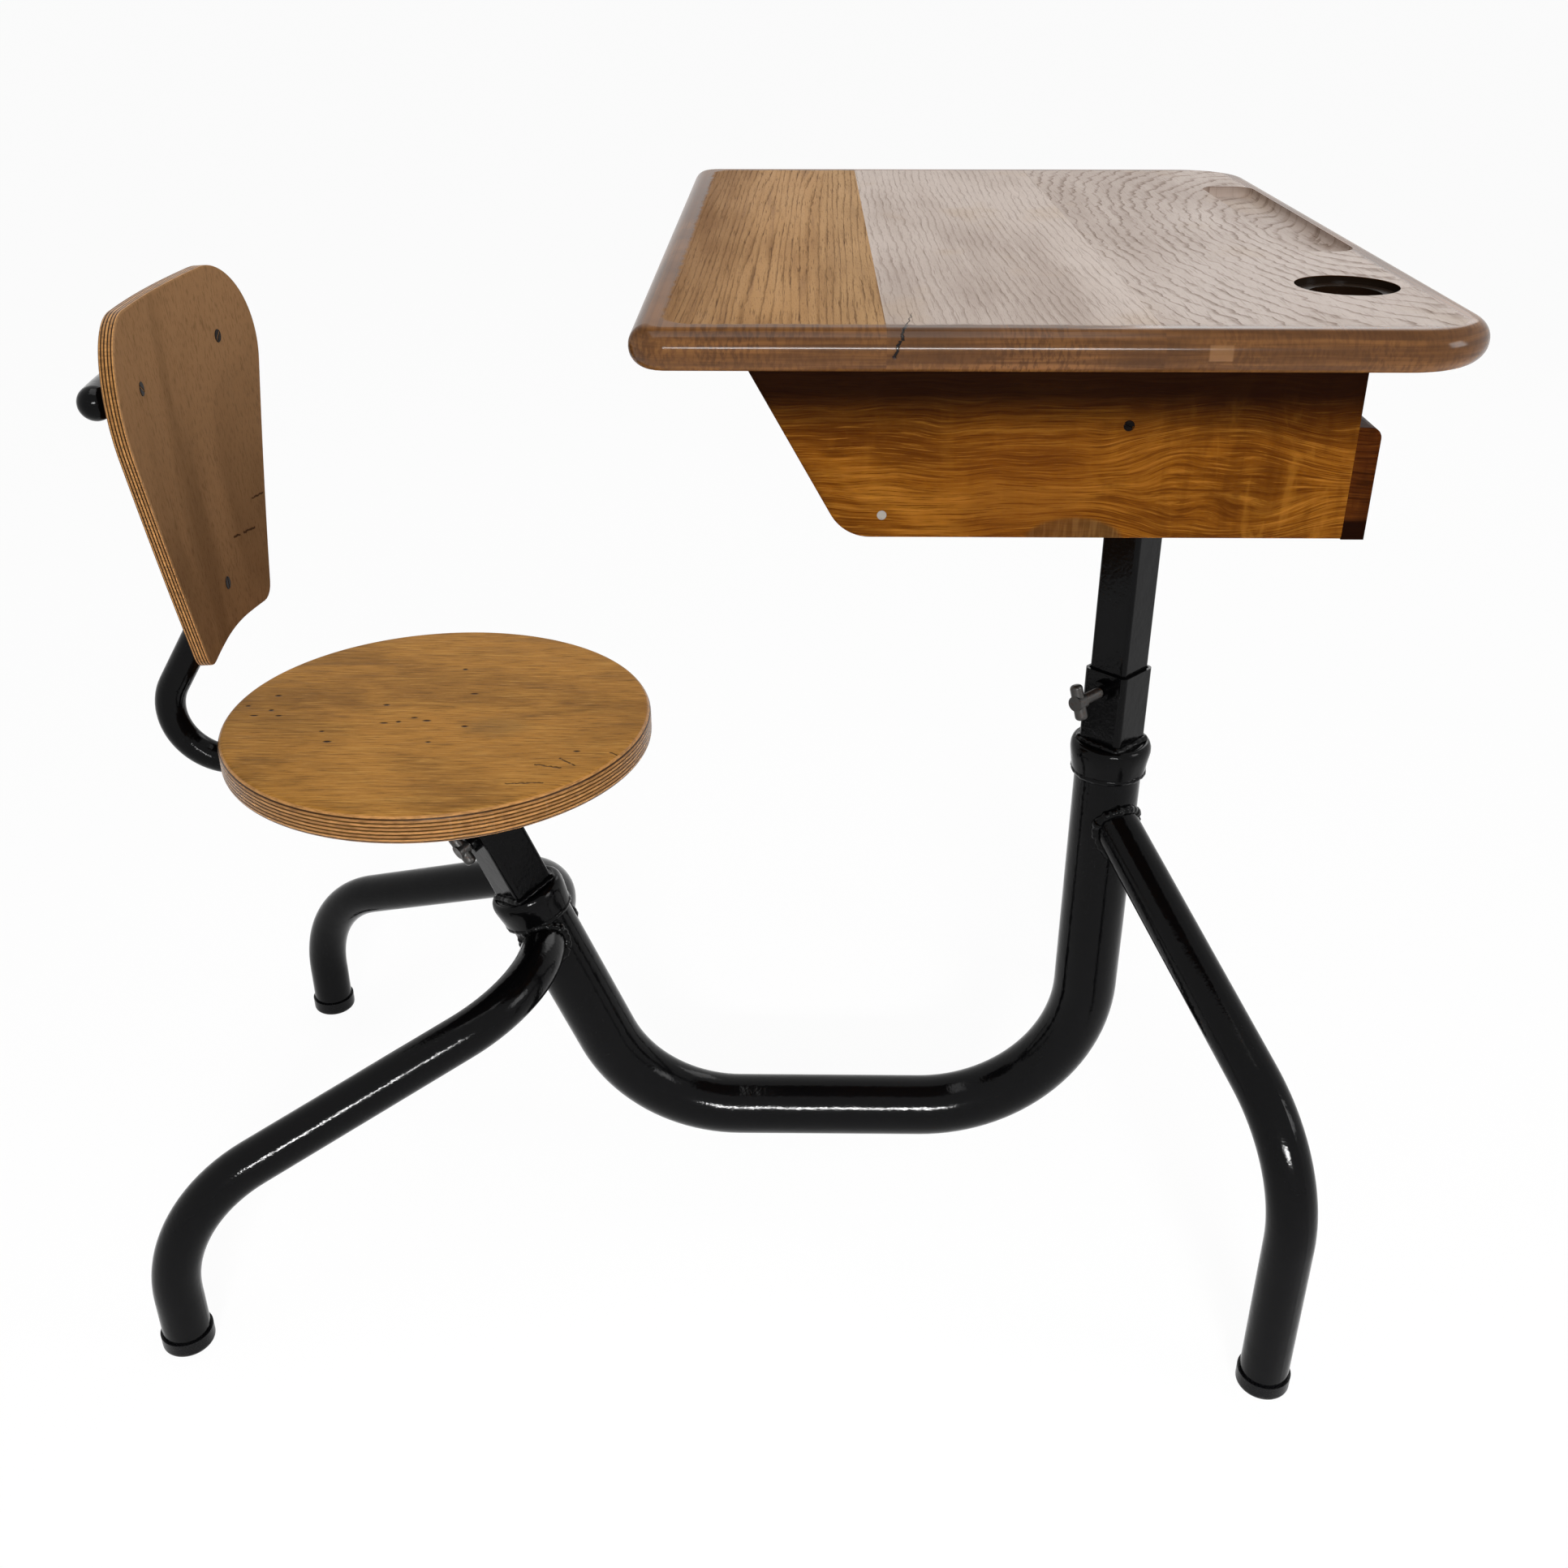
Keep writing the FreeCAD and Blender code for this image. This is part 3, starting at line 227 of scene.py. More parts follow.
class Finish(Nodes):
    """A material in the object's own coordinates; its seed sets its figure apart."""

    def __init__(self, name, seed=0.0):
        self.material = bpy.data.materials.new(name)
        self.material.use_nodes = True
        super().__init__(self.material.node_tree)
        self.shader = self.tree.nodes["Principled BSDF"]
        self.place = self.node("TexCoord").outputs["Object"]
        self.seed = seed

    def surface(self, **inputs):
        """Set the shader's inputs, with underscores for spaces, and give the material."""
        for key, value in inputs.items():
            self.feed(self.shader.inputs[key.replace("_", " ")], value)
        return self.material

    def axes(self, at=None):
        """The three coordinates of a place."""
        return self.node("SeparateXYZ", {0: at or self.place}).outputs[:3]

    def joined(self, x=0.0, y=0.0, z=0.0):
        """A place from its three coordinates."""
        return self.node("CombineXYZ", {0: x, 1: y, 2: z}).outputs[0]

    def stretched(self, scale, offset=(0, 0, 0), turn=(0, 0, 0), at=None):
        """Places scaled by a different amount along each axis."""
        return self.node("Mapping", {
            "Vector": at or self.place, "Location": offset, "Rotation": turn,
            "Scale": scale}).outputs[0]

    def cloud(self, at, scale=1.0, detail=3.0, rough=0.55, warp=0.0):
        """Soft noise from 0 to 1."""
        return self.node("TexNoise", {
            "Vector": at, "Scale": scale, "Detail": detail, "Roughness": rough,
            "Distortion": warp}).outputs[0]

    def figure(self, scale, detail=3.0, rough=0.55, warp=0.0, shift=None, turn=(0, 0, 0), at=None):
        """Noise stretched along the grain; with a shift, it also goes by the seed."""
        offset = (0, 0, 0) if shift is None else (self.seed, shift, 0)
        return self.cloud(self.stretched(scale, offset, turn, at), 1.0, detail, rough, warp)

    def mix(self, share, a, b):
        """Two colours mixed."""
        return self.node("Mix", {0: share, 6: a, 7: b}, data_type="RGBA").outputs[2]

    def layers(self, colour, *rows):
        """Colours laid over one another; a row is value, from, to, share at the end, colour."""
        for value, low, high, share, tint in rows:
            colour = self.mix(self.span(value, low, high, 0.0, share), colour, tint)
        return colour

    def bump(self, height, depth, under=None):
        """A raised surface, on top of another where one is given."""
        inputs = {"Strength": 1.0, "Distance": depth, "Height": height}
        if under is not None:
            inputs["Normal"] = under
        return self.node("Bump", inputs).outputs[0]

    def facing(self, axis):
        """How far the surface faces along an axis, from -1 to 1."""
        return self.axes(self.node("NewGeometry").outputs["Normal"])[axis]

    def vector(self, kind, *values):
        """One step of arithmetic with places."""
        item = self.node("VectorMath", dict(enumerate(values)), operation=kind)
        single = kind in ("LENGTH", "DOT_PRODUCT", "DISTANCE")
        return item.outputs["Value" if single else "Vector"]

    def near(self, centre, radii):
        """1 at the centre, fading to 0 at the radii."""
        place = self.stretched([1 / r for r in radii], [-c / r for c, r in zip(centre, radii)])
        return self.span(self.vector("LENGTH", place), 1.0, 0.35)

    def jagged(self, amount, scale=240.0):
        """Places shaken sideways by up to half the amount."""
        shake = self.node("TexNoise", {
            "Vector": self.place, "Scale": scale, "Detail": 2.0}).outputs[1]
        shake = self.vector("SUBTRACT", shake, (0.5, 0.5, 0.5))
        return self.vector("ADD", self.place, self.vector("MULTIPLY", shake, (amount,) * 3))

    def stroke(self, start, end, half, at):
        """1 along a thin line between two places, fading to 0 at half its width."""
        way = Vector(end) - Vector(start)
        offset = self.vector("SUBTRACT", at, start)
        share = self.over(self.vector("DOT_PRODUCT", offset, tuple(way)), way.length_squared)
        share = self.span(share, 0.0, 1.0, kind="LINEAR")
        nearest = self.vector("MULTIPLY", self.joined(share, share, share), tuple(way))
        return self.span(self.vector("DISTANCE", offset, nearest), half, half * 0.4)


def black_paint(tones):
    """Gloss paint brushed on pipe: slight orange peel, thin spots and settled dust."""
    f = Finish("black_paint")
    peel = f.cloud(f.place, 420.0)
    lumps = f.cloud(f.place, 60.0)
    specks = f.span(f.cloud(f.place, 900.0, 2.0), 0.66, 0.74)
    rub = f.span(f.cloud(f.place, 9.0, 4.0, 0.65), 0.52, 0.75)
    worn = f.times(specks, rub)
    return f.surface(
        Base_Color=f.mix(worn, tones.paint, Shade.thin_paint),
        Roughness=f.plus(f.span(lumps, 0.3, 0.7, 0.09, 0.12), f.times(worn, 0.25)),
        Specular_IOR_Level=0.1,
        Normal=f.bump(peel, 0.00012, f.bump(lumps, 0.0003)))


def foot_plastic(tones):
    """Moulded caps, scuffed grey towards the floor."""
    f = Finish("foot_plastic")
    height = f.axes()[2]
    grit = f.cloud(f.place, 700.0)
    scuff = f.span(f.cloud(f.place, 160.0, 4.0), 0.45, 0.7)
    scuff = f.times(f.span(height, 0.006, 0.0), scuff)
    return f.surface(
        Base_Color=f.mix(scuff, tones.cap, Shade.scuff),
        Roughness=f.span(grit, 0.3, 0.7, 0.2, 0.32),
        Specular_IOR_Level=0.12,
        Normal=f.bump(grit, 0.00008))


def dark_steel(name, colour, rust, metal=0.85, gloss=0.2):
    """Handled steel with brushed marks and a little rust."""
    f = Finish(name)
    brushed = f.figure((900, 900, 140))
    spots = f.span(f.cloud(f.place, 320.0, 5.0, 0.65), 0.5, 0.68)
    stained = f.times(spots, rust)
    return f.surface(
        Base_Color=f.mix(stained, colour, Shade.rust),
        Metallic=metal,
        Specular_IOR_Level=gloss,
        Roughness=f.plus(f.span(brushed, 0.3, 0.7, 0.28, 0.42), f.times(stained, 0.3)),
        Normal=f.bump(brushed, 0.00004, f.bump(spots, 0.00008)))


# Each board's growth rings (heart to ragged), lines, pores and sheen, and its figure's scales
GRAIN = {
    "front": Values(
        seed=1.7, heart=(1.6, -1.0), squash=0.18, ring=0.5, sway=6.0,
        ragged=0.4, line=0.8, pores=0.62, sheen=0.015,
        wander=(26, 1.1, 0), dash=(520, 11, 0)),
    "middle": Values(
        seed=4.1, heart=(0.42, 0.12), squash=0.15, ring=0.58, sway=3.6,
        ragged=0.9, line=0.55, pores=0.34, sheen=0.05,
        wander=(12, 3, 0), dash=(300, 14, 0)),
    "rear": Values(
        seed=6.4, heart=(0.385, -0.015), squash=0.36, ring=0.9, sway=2.6,
        ragged=1.7, line=0.85, pores=0.34, sheen=0.04,
        wander=(12, 3, 0), dash=(260, 14, 0)),
}
TOP = Values(front=-0.025, rear=0.3955, half_width=0.287, corner=0.032)
# The sunken places reach a hair past their walls, and lie below the sunken height
SUNKEN_BELOW = 0.7497
INKWELL = Values(place=(0.346, -0.174), rim=0.0278, hole=0.0196, ledge=0.7456)
GROOVE = Values(place=(0.3645, 0.056), half_width=0.0185, half_length=0.1315)
SPLIT = Values(start=(0.1099, -0.2457), slant=0.165, jag=0.0048, foot=0.7372,
         turn_height=0.7456, drop_slant=0.22, drop_step=-0.0012)
SAPWOOD_X = 0.2555
EDGE_GLOSS, EDGE_ROUGH = 0.19, 0.15


def open_grain(f, grain, ring_size):
    """Growth rings round a far heart, broken into dashes, and pores; gives lines and pores."""
    (heart_x, heart_y), squash = grain.heart, grain.squash
    radius = f.vector("LENGTH", f.stretched((1, squash, 0), (-heart_x, -heart_y * squash, 0)))
    turns = f.over(radius, ring_size * grain.ring)
    turns = f.scaled(f.figure(grain.wander, 2.0, shift=0), grain.sway, turns)
    turns = f.scaled(f.figure((24, 42, 0), 3.0, 0.6, shift=5), grain.ragged, turns)
    phase = f.step("FRACT", turns)
    width = f.span(f.figure((30, 12, 0), 2.0, shift=8), 0.35, 0.65, 0.22, 0.5)
    fall = f.step("SMOOTH_MIN", f.over(phase, width), 1.0, 0.2)
    line = f.times(f.span(phase, 0.0, 0.07), f.less(1.0, fall))
    dash = f.span(f.figure(grain.dash, 3.0, 0.6, shift=2), 0.34, 0.56, 0.3, 1.0)
    line = f.times(f.times(line, dash), grain.line)
    pores = f.span(f.figure((1150, 34, 0), 2.0, shift=0), 0.57, 0.7)
    fine = f.span(f.figure((2400, 150, 0), 1.0, shift=0), 0.55, 0.75)
    return line, f.most(pores, f.times(fine, 0.6))


def edge_inset(f):
    """How far inside the outline of the top a place lies."""
    x, y = f.axes()[:2]
    corner = TOP.corner
    middle, half_depth = (TOP.front + TOP.rear) / 2, (TOP.rear - TOP.front) / 2
    over_x = f.less(f.size(f.less(x, middle)), half_depth - corner)
    over_y = f.less(f.size(y), TOP.half_width - corner)
    outside = f.vector("LENGTH", f.joined(f.most(over_x, 0.0), f.most(over_y, 0.0)))
    inside = f.least(f.most(over_x, over_y), 0.0)
    return f.less(corner, f.plus(outside, inside))


def sunken(f):
    """Masks of the pen groove, the inkwell's ledge and the inkwell's bore."""
    x, y, z = f.axes()
    low = f.below(z, SUNKEN_BELOW)
    middle_x, middle_y = GROOVE.place
    groove = f.times(f.below(f.size(f.less(x, middle_x)), GROOVE.half_width),
                     f.below(f.size(f.less(y, middle_y)), GROOVE.half_length))
    well_x, well_y = INKWELL.place
    well = f.vector("LENGTH", f.stretched((1, 1, 0), (-well_x, -well_y, 0)))
    ledge = f.times(f.below(well, INKWELL.rim), low)
    bore = f.times(f.below(well, INKWELL.hole), f.below(z, INKWELL.ledge))
    return f.times(groove, low), ledge, bore


def split_mark(f):
    """The jagged split that runs over the near edge beside the joint."""
    x, y, z = f.axes()
    (start_x, start_y), foot = SPLIT.start, SPLIT.foot
    line = f.scaled(f.less(y, start_y), SPLIT.slant, start_x)
    drop = f.least(f.less(z, SPLIT.turn_height), 0.0)
    line = f.scaled(drop, SPLIT.drop_slant, line)
    line = f.scaled(f.below(z, SPLIT.turn_height), SPLIT.drop_step, line)
    line = f.scaled(f.figure((90, 160, 190), 3.0, 0.7), SPLIT.jag, line)
    half = f.span(y, -0.268, -0.285, 0.00022, 0.0007)
    mark = f.span(f.over(f.size(f.less(x, line)), half), 1.3, 0.6)
    mark = f.times(mark, f.span(y, start_y + 0.002, start_y - 0.006))
    return f.times(mark, f.span(z, foot, foot + 0.0012))


def oak_face(f, name, tones, drift, streak):
    """Colour of a board's face before its grain: warm at the front; behind, pale, partly painted
    reflection.
    """
    x = f.axes()[0]
    if name == "front":
        return f.layers(
            tones.oak_warm,
            (drift, 0.36, 0.68, 1.0, tones.oak_brown),
            (streak, 0.46, 0.7, 0.6, Shade.front_gold),
            (streak, 0.46, 0.3, 0.6, tones.oak_brown),
            (x, 0.045, -0.02, 0.62, Shade.front_rim),
            (x, 0.055, 0.092, 0.4, Shade.front_glow))
    # Middle and rear boards: their own tone with a painted reflection laid in, and paler streaks
    # of painted reflection
    face = f.layers(
        tones.oak_pale,
        (drift, 0.38, 0.7, 1.0, tones.oak_grey),
        (streak, 0.5, 0.72, 0.35, Shade.sheen_streak),
        (f.figure((14, 9, 0), shift=9), 0.55, 0.7, 0.4, Shade.handled))
    return f.layers(face, (x, 0.15, 0.3, 0.24, Shade.rear_grey)) if name == "rear" else face


def oak_edge(f, name, tones):
    """Colour of a board's rounded edge: brown, hatched, with a pale patch on the rear board."""
    streak = f.figure((9, 9, 330), 3.0, 0.6, 0.3, shift=0)
    patches = f.figure((14, 3, 30), shift=0)
    hatch = f.cloud(f.stretched((560, 1, 240), (0, 0, f.seed), (0, 0.75, 0)), 1.0, 2.0)
    hatch = f.times(f.span(hatch, 0.42, 0.62), f.span(patches, 0.35, 0.6, 0.5, 0.15))
    edge = f.layers(
        tones.oak_edge,
        (streak, 0.36, 0.66, 1.0, Shade.edge_light),
        (patches, 0.42, 0.7, 0.6, Shade.edge_dark))
    edge = f.mix(hatch, edge, Shade.edge_hatch)
    if name == "rear":
        x, y, z = f.axes()
        upright = f.times(f.span(z, 0.7362, 0.7372), f.span(z, 0.7445, 0.7435))
        patch = f.times(f.span(f.size(f.less(x, SAPWOOD_X)), 0.0062, 0.005), upright)
        edge = f.mix(f.times(patch, f.span(y, -0.27, -0.28, 0.0, 0.6)), edge, Shade.sapwood)
    return edge


def oak_board(name, tones, sizes):
    """Open-grained oak, partly painted reflection on pale faces, brown polished edges, matt below.
    """
    grain = GRAIN[name]
    f = Finish(f"oak_{name}", grain.seed)
    up = f.facing(2)
    line, pores = open_grain(f, grain, sizes.ring)
    drift = f.figure((16, 3, 0), shift=3)
    streak = f.figure((150, 5, 0), shift=1)
    marks = f.least(f.scaled(pores, grain.pores, line), 1.0)
    dark = Shade.front_pore if name == "front" else tones.oak_line
    face = f.mix(marks, oak_face(f, name, tones, drift, streak), dark)

    # The face colour, on the middle and rear boards partly a painted reflection, holds only where
    # the face looks straight up and lies in from the outline; where the top curves it gives way to
    # the brown edge
    sheen_inset = f.scaled(f.figure((90, 90, 0), shift=4), 0.006, edge_inset(f))
    level = f.least(f.span(up, 0.965, 0.9985), f.span(sheen_inset, 0.0172, 0.0205))
    groove, ledge, bore = sunken(f)
    level = f.most(level, groove)
    colour = f.mix(level, oak_edge(f, name, tones), face)
    # Where the groove's walls turn away from straight up they are browned: painted shade
    groove_wall_shade = f.times(groove, f.span(up, 0.98, 0.7, 0.0, 0.14))
    colour = f.mix(groove_wall_shade, colour, Shade.groove_wall_shade)
    # Near black on the inkwell's ledge and in its bore: painted shade inside the hole
    colour = f.mix(ledge, colour, Shade.ledge)
    colour = f.mix(bore, colour, Shade.bore)

    normal = f.bump(f.times(f.plus(f.times(pores, 0.5), line), level), -0.00025)
    if name == "middle":
        split = split_mark(f)
        colour = f.mix(split, colour, Shade.split)
        normal = f.bump(split, -0.0015, normal)
    gloss = f.span(f.size(f.facing(1)), 0.35, 0.8, grain.sheen, EDGE_GLOSS)
    matt = f.scaled(marks, 0.2, f.span(drift, 0.3, 0.7, 0.38, 0.48))
    return f.surface(
        Base_Color=colour,
        Normal=normal,
        Specular_IOR_Level=f.times(gloss, f.span(up, -0.9, -0.5)),
        Roughness=f.node("Mix", {0: level, 2: EDGE_ROUGH, 3: matt}).outputs[0])


# Marks on the near locker side, the last a patch of painted shade: centre and radii
SWIRL = (0.2749, -0.237, 0.660), (0.075, 0.2, 0.05)
KNOT = (0.2789, -0.237, 0.657), (0.016, 0.2, 0.009)
RUBBED = (0.2024, -0.237, 0.6285), (0.036, 0.05, 0.0195)
SHADE_PATCH = (0.175, -0.237, 0.655), (0.05, 0.1, 0.06)


def near_marks(f, colour, rough, dark):
    """Knot, worn patch and painted shade patch of the near locker side; gives colour and
    roughness.
    """
    flecks = f.span(f.figure((180, 1, 300), turn=(0, 0.6, 0)), 0.4, 0.65)
    colour = f.mix(f.times(f.scaled(flecks, 0.3, 0.2), f.near(*KNOT)), colour, dark)
    patch = f.span(f.near(*RUBBED), 0.2, 0.5)
    hatch = f.span(f.figure((420, 1, 40), 2.0), 0.4, 0.65)
    bare = f.mix(hatch, Shade.rubbed_dark, Shade.rubbed_light)
    colour = f.mix(f.times(patch, 0.85), colour, bare)
    # Darkens a patch towards the left of the near side: painted shade
    colour = f.mix(f.times(f.near(*SHADE_PATCH), 0.35), colour, Shade.shade_patch)
    return colour, f.scaled(patch, 0.25, rough)


def locker_varnish(name, tints, seed, marked=False, foot=None):
    """Varnished board with figure along it, with painted shadow under the top or, with a foot,
    darker at its foot.
    """
    f = Finish(name, seed)
    base, light, dark = tints
    x, _, z = f.axes()
    lift = f.scaled(f.figure((13, 13, 20), 2.0, shift=7), 0.014, -0.007)
    if marked:
        swirl = f.times(f.near(*SWIRL), 0.6)
        lift = f.plus(lift, f.times(f.less(SWIRL[0][2], z), swirl))
    place = f.vector("ADD", f.place, f.joined(z=lift))
    broad = f.figure((8, 8, 24), 3.0, 0.6, 0.3, shift=0, at=place)
    streak = f.figure((9, 9, 360), 5.0, 0.7, shift=0, at=place)
    hair = f.figure((30, 30, 1100), 4.0, 0.7, shift=0, at=place)
    ripple = f.figure((75, 75, 26), 3.0, 0.6, 0.3, shift=3, turn=(0, 0.45, 0), at=place)
    colour = f.layers(
        base,
        (streak, 0.48, 0.7, 0.7, light), (streak, 0.48, 0.3, 0.75, dark),
        (broad, 0.46, 0.66, 0.7, dark), (broad, 0.44, 0.3, 0.5, light),
        (hair, 0.49, 0.64, 0.75, dark), (hair, 0.46, 0.34, 0.55, light))
    ripples = ((0.48, 0.68, 0.1, 0.4, dark), (0.46, 0.3, 0.08, 0.35, light))
    for low, high, start, end, tint in ripples:
        crest = f.times(f.span(ripple, low, high), f.span(x, 0.2, 0.3, start, end))
        colour = f.mix(crest, colour, tint)
    rough = f.span(streak, 0.3, 0.7, 0.3, 0.42)
    if marked:
        colour, rough = near_marks(f, colour, rough, dark)
    # Near black towards the top: painted shadow of the top's overhang; with a foot, the board
    # darkens towards its foot instead
    stain = f.span(z, 0.68, 0.71) if foot is None else f.span(z, foot + 0.013, foot + 0.009)
    return f.surface(
        Base_Color=f.mix(f.times(stain, 0.97), colour, Shade.shadow_band),
        Roughness=rough,
        Specular_IOR_Level=0.015,
        Normal=f.bump(f.plus(hair, f.times(streak, 0.6)), 0.0002))


def ply_edge(f, tones, depth, ply):
    """Sawn plies, lighter and darker in turn, with glue lines; gives colour and streaks."""
    layer = f.over(depth, ply)
    odd = f.span(f.step("PINGPONG", f.step("FLOOR", layer), 1.0), 0.2, 0.8)
    glue = f.span(f.step("PINGPONG", layer, 0.5), 0.27, 0.14)
    streak = f.figure((150, 150, 900))
    duller = [c * 0.6 for c in tones.ply_light]
    plies = f.mix(f.span(streak, 0.38, 0.68), tones.ply_light, duller)
    plies = f.mix(f.times(odd, 0.3), plies, tones.ply_dark)
    return f.mix(f.times(glue, 0.92), plies, Shade.glue), streak


SEAT_TOP = 0.413
SEAT_GRAIN_TURN = (0, 0, 0.07)
SEAT_DIRT = (-0.159, -0.022, SEAT_TOP), (0.034, 0.02, 0.05)
# Specks on the seat, and both ends of its cracks: along and across, mm
SPECKS = (
    (-346, 10), (-329, 28), (-337, -6), (-327, 3), (-319, -6), (-273, -47), (-281, -31),
    (-245, 13), (-240, -17), (-230, -15), (-220, -8), (-210, -13), (-202, -47), (-181, -22),
    (-184, 33), (-199, 77), (-96, -60),
)
SEAT_CRACKS = (
    ((-122, -80), (-104, -85)), ((-106, -71), (-95, -81)),
    ((-137, -108), (-113, -106)), ((-72, -62), (-64, -68)),
)


def seat_marks(f):
    """Mask of the seat's specks, a little unlike in size, and of its cracks."""
    marks = 0.0
    for i, (along, across) in enumerate(SPECKS):
        radii = (0.0026 + i % 3 * 0.0008, 0.0015 + i % 2 * 0.0005, 0.01)
        marks = f.most(marks, f.near((along * MM, across * MM, SEAT_TOP), radii))
    jagged = f.jagged(0.0035)
    for ends in SEAT_CRACKS:
        start, end = [(along * MM, across * MM, SEAT_TOP) for along, across in ends]
        marks = f.most(marks, f.times(f.stroke(start, end, 0.0012, jagged), 0.8))
    return marks


def seat_veneer(tones, sizes):
    """Golden seat veneer: fine streaks from front to back, specks, cracks, and ply edges."""
    f = Finish("seat_veneer")
    wave = f.figure((8, 19, 0), 4.0, 0.6, 0.6, turn=SEAT_GRAIN_TURN)
    streak = f.figure((10, 110, 0), 6.0, 0.72, 0.4, turn=SEAT_GRAIN_TURN)
    hair = f.figure((40, 620, 0), 4.0, 0.7, turn=SEAT_GRAIN_TURN)
    colour = f.layers(
        tones.seat,
        (wave, 0.42, 0.66, 0.7, tones.seat_dark),
        (streak, 0.49, 0.68, 0.6, Shade.seat_pale),
        (streak, 0.47, 0.3, 0.5, Shade.seat_brown),
        (hair, 0.5, 0.64, 0.62, Shade.seat_pore),
        (hair, 0.46, 0.34, 0.5, Shade.seat_gold))
    colour = f.mix(f.times(f.near(*SEAT_DIRT), 0.34), colour, Shade.seat_dirt)
    marks = seat_marks(f)
    colour = f.mix(marks, colour, Shade.seat_mark)
    rim = f.span(f.facing(2), 0.93, 0.72)
    edge, grain = ply_edge(f, tones, f.less(SEAT_TOP, f.axes()[2]), sizes.ply)
    normal = f.bump(f.plus(hair, f.times(marks, -2.5)), 0.00025)
    return f.surface(
        Base_Color=f.mix(rim, colour, edge),
        Roughness=f.scaled(rim, -0.18, f.span(streak, 0.3, 0.7, 0.36, 0.48)),
        Specular_IOR_Level=f.span(rim, 0.0, 1.0, 0.03, 0.12),
        Normal=f.bump(f.times(grain, rim), 0.0003, normal))


# Fine cracks by the far edge of the back panel: across and height, mm
BACK_CRACKS = (
    ((70, 551.5), (88, 549.5)), ((45, 534), (64, 531)), ((28, 536.5), (39, 534.5)),
)


def back_veneer(tones, sizes):
    """Duller brown veneer up the back panel: faint sloping figure, front cracks, ply edges."""
    f = Finish("back_veneer")
    wave = f.figure((0, 8, 4), 3.0, 0.55, 0.8, turn=(0.5, 0, 0))
    streak = f.figure((0, 70, 6), 5.0, 0.7, 0.5, turn=(0.12, 0, 0))
    fleck = f.figure((300, 700, 170))
    colour = f.layers(
        tones.back,
        (wave, 0.38, 0.7, 0.7, Shade.back_dark),
        (streak, 0.5, 0.74, 0.35, Shade.back_pale),
        (fleck, 0.5, 0.68, 0.42, Shade.back_fleck))
    crack = 0.0
    flat = f.vector("MULTIPLY", f.jagged(0.003), (0.0, 1.0, 1.0))
    for ends in BACK_CRACKS:
        start, end = [(0.0, across * MM, height * MM) for across, height in ends]
        crack = f.most(crack, f.stroke(start, end, 0.001, flat))
    crack = f.times(crack, f.span(f.facing(0), 0.2, 0.6, 0.0, 0.85))
    colour = f.mix(crack, colour, Shade.back_crack)
    depth, rim = [f.node("Attribute", attribute_name=name).outputs["Fac"]
                  for name in ("ply_depth", "ply_rim")]
    edge, grain = ply_edge(f, tones, depth, sizes.back_ply)
    normal = f.bump(f.plus(fleck, f.times(crack, -2.0)), 0.00015)
    return f.surface(
        Base_Color=f.mix(rim, colour, edge),
        Roughness=f.scaled(rim, -0.12, f.span(streak, 0.3, 0.7, 0.4, 0.5)),
        Specular_IOR_Level=f.span(rim, 0.0, 1.0, 0.0, 0.1),
        Normal=f.bump(f.times(grain, rim), 0.0003, normal))


# Mesh helpers

def dress(node, material):
    """Give a carried-over node its finish."""
    slots = NODES[node].data.materials
    slots.clear()
    slots.append(material)


def piece(name, bm, material, body, slot, *nodes, smooth):
    """A finished mesh as a piece that rides on a body and stands for the given nodes."""
    bmesh.ops.recalc_face_normals(bm, faces=bm.faces)
    data = bpy.data.meshes.new(name)
    bm.to_mesh(data)
    bm.free()
    data.materials.append(material)
    for polygon in data.polygons:
        polygon.use_smooth = True
    data.set_sharp_from_angle(angle=math.radians(smooth))
    item = bpy.data.objects.new(name, data)
    bpy.context.scene.collection.objects.link(item)
    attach(item, body)
    if nodes:
        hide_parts(*nodes)


def loops_to_faces(bm, loops, closed=False):
    """Skin rings of equal count; closed, the last joins the first, else both ends are capped."""
    pairs = list(zip(loops, loops[1:]))
    if closed:
        pairs.append((loops[-1], loops[0]))
    for a, b in pairs:
        count = len(a)
        for i in range(count):
            j = (i + 1) % count
            bm.faces.new((a[i], a[j], b[j], b[i]))
    if not closed:
        bm.faces.new(reversed(loops[0]))
        bm.faces.new(loops[-1])


def on_circle(radius, angle, height=0.0):
    """A place on a circle about Z."""
    return Vector((radius * math.cos(angle), radius * math.sin(angle), height))


def turned(bm, profile, axis, steps, reach=None, closed=False):
    """Turn a profile of (radius, height) about an axis frame; reach makes the radius uneven."""
    loops = []
    for radius, height in profile:
        ring = []
        for i in range(steps):
            angle = TURN * i / steps
            out = reach(radius, angle, height) if reach else radius
            ring.append(bm.verts.new(axis @ on_circle(out, angle, height)))
        loops.append(ring)
    loops_to_faces(bm, loops, closed)


def facing_frame(base, direction):
    """A frame at the base whose Z axis points along the direction."""
    turn = UP.rotation_difference(Vector(direction).normalized())
    return Matrix.Translation(base) @ turn.to_matrix().to_4x4()


def ply_profile(thick, soft, steps, lines, groove, half):
    """Inset and height up a softened edge, with a fine groove at each line between plies."""
    angles = [math.pi / 2 * i / steps for i in range(steps + 1)]
    profile = [(soft - soft * math.sin(a), soft - soft * math.cos(a)) for a in angles]
    for line in lines:
        if soft < line < thick - soft:
            profile += [(0.0, line - half), (groove, line), (0.0, line + half)]
    return profile + [
        (soft - soft * math.cos(a), thick - soft + soft * math.sin(a)) for a in angles]


# Frame

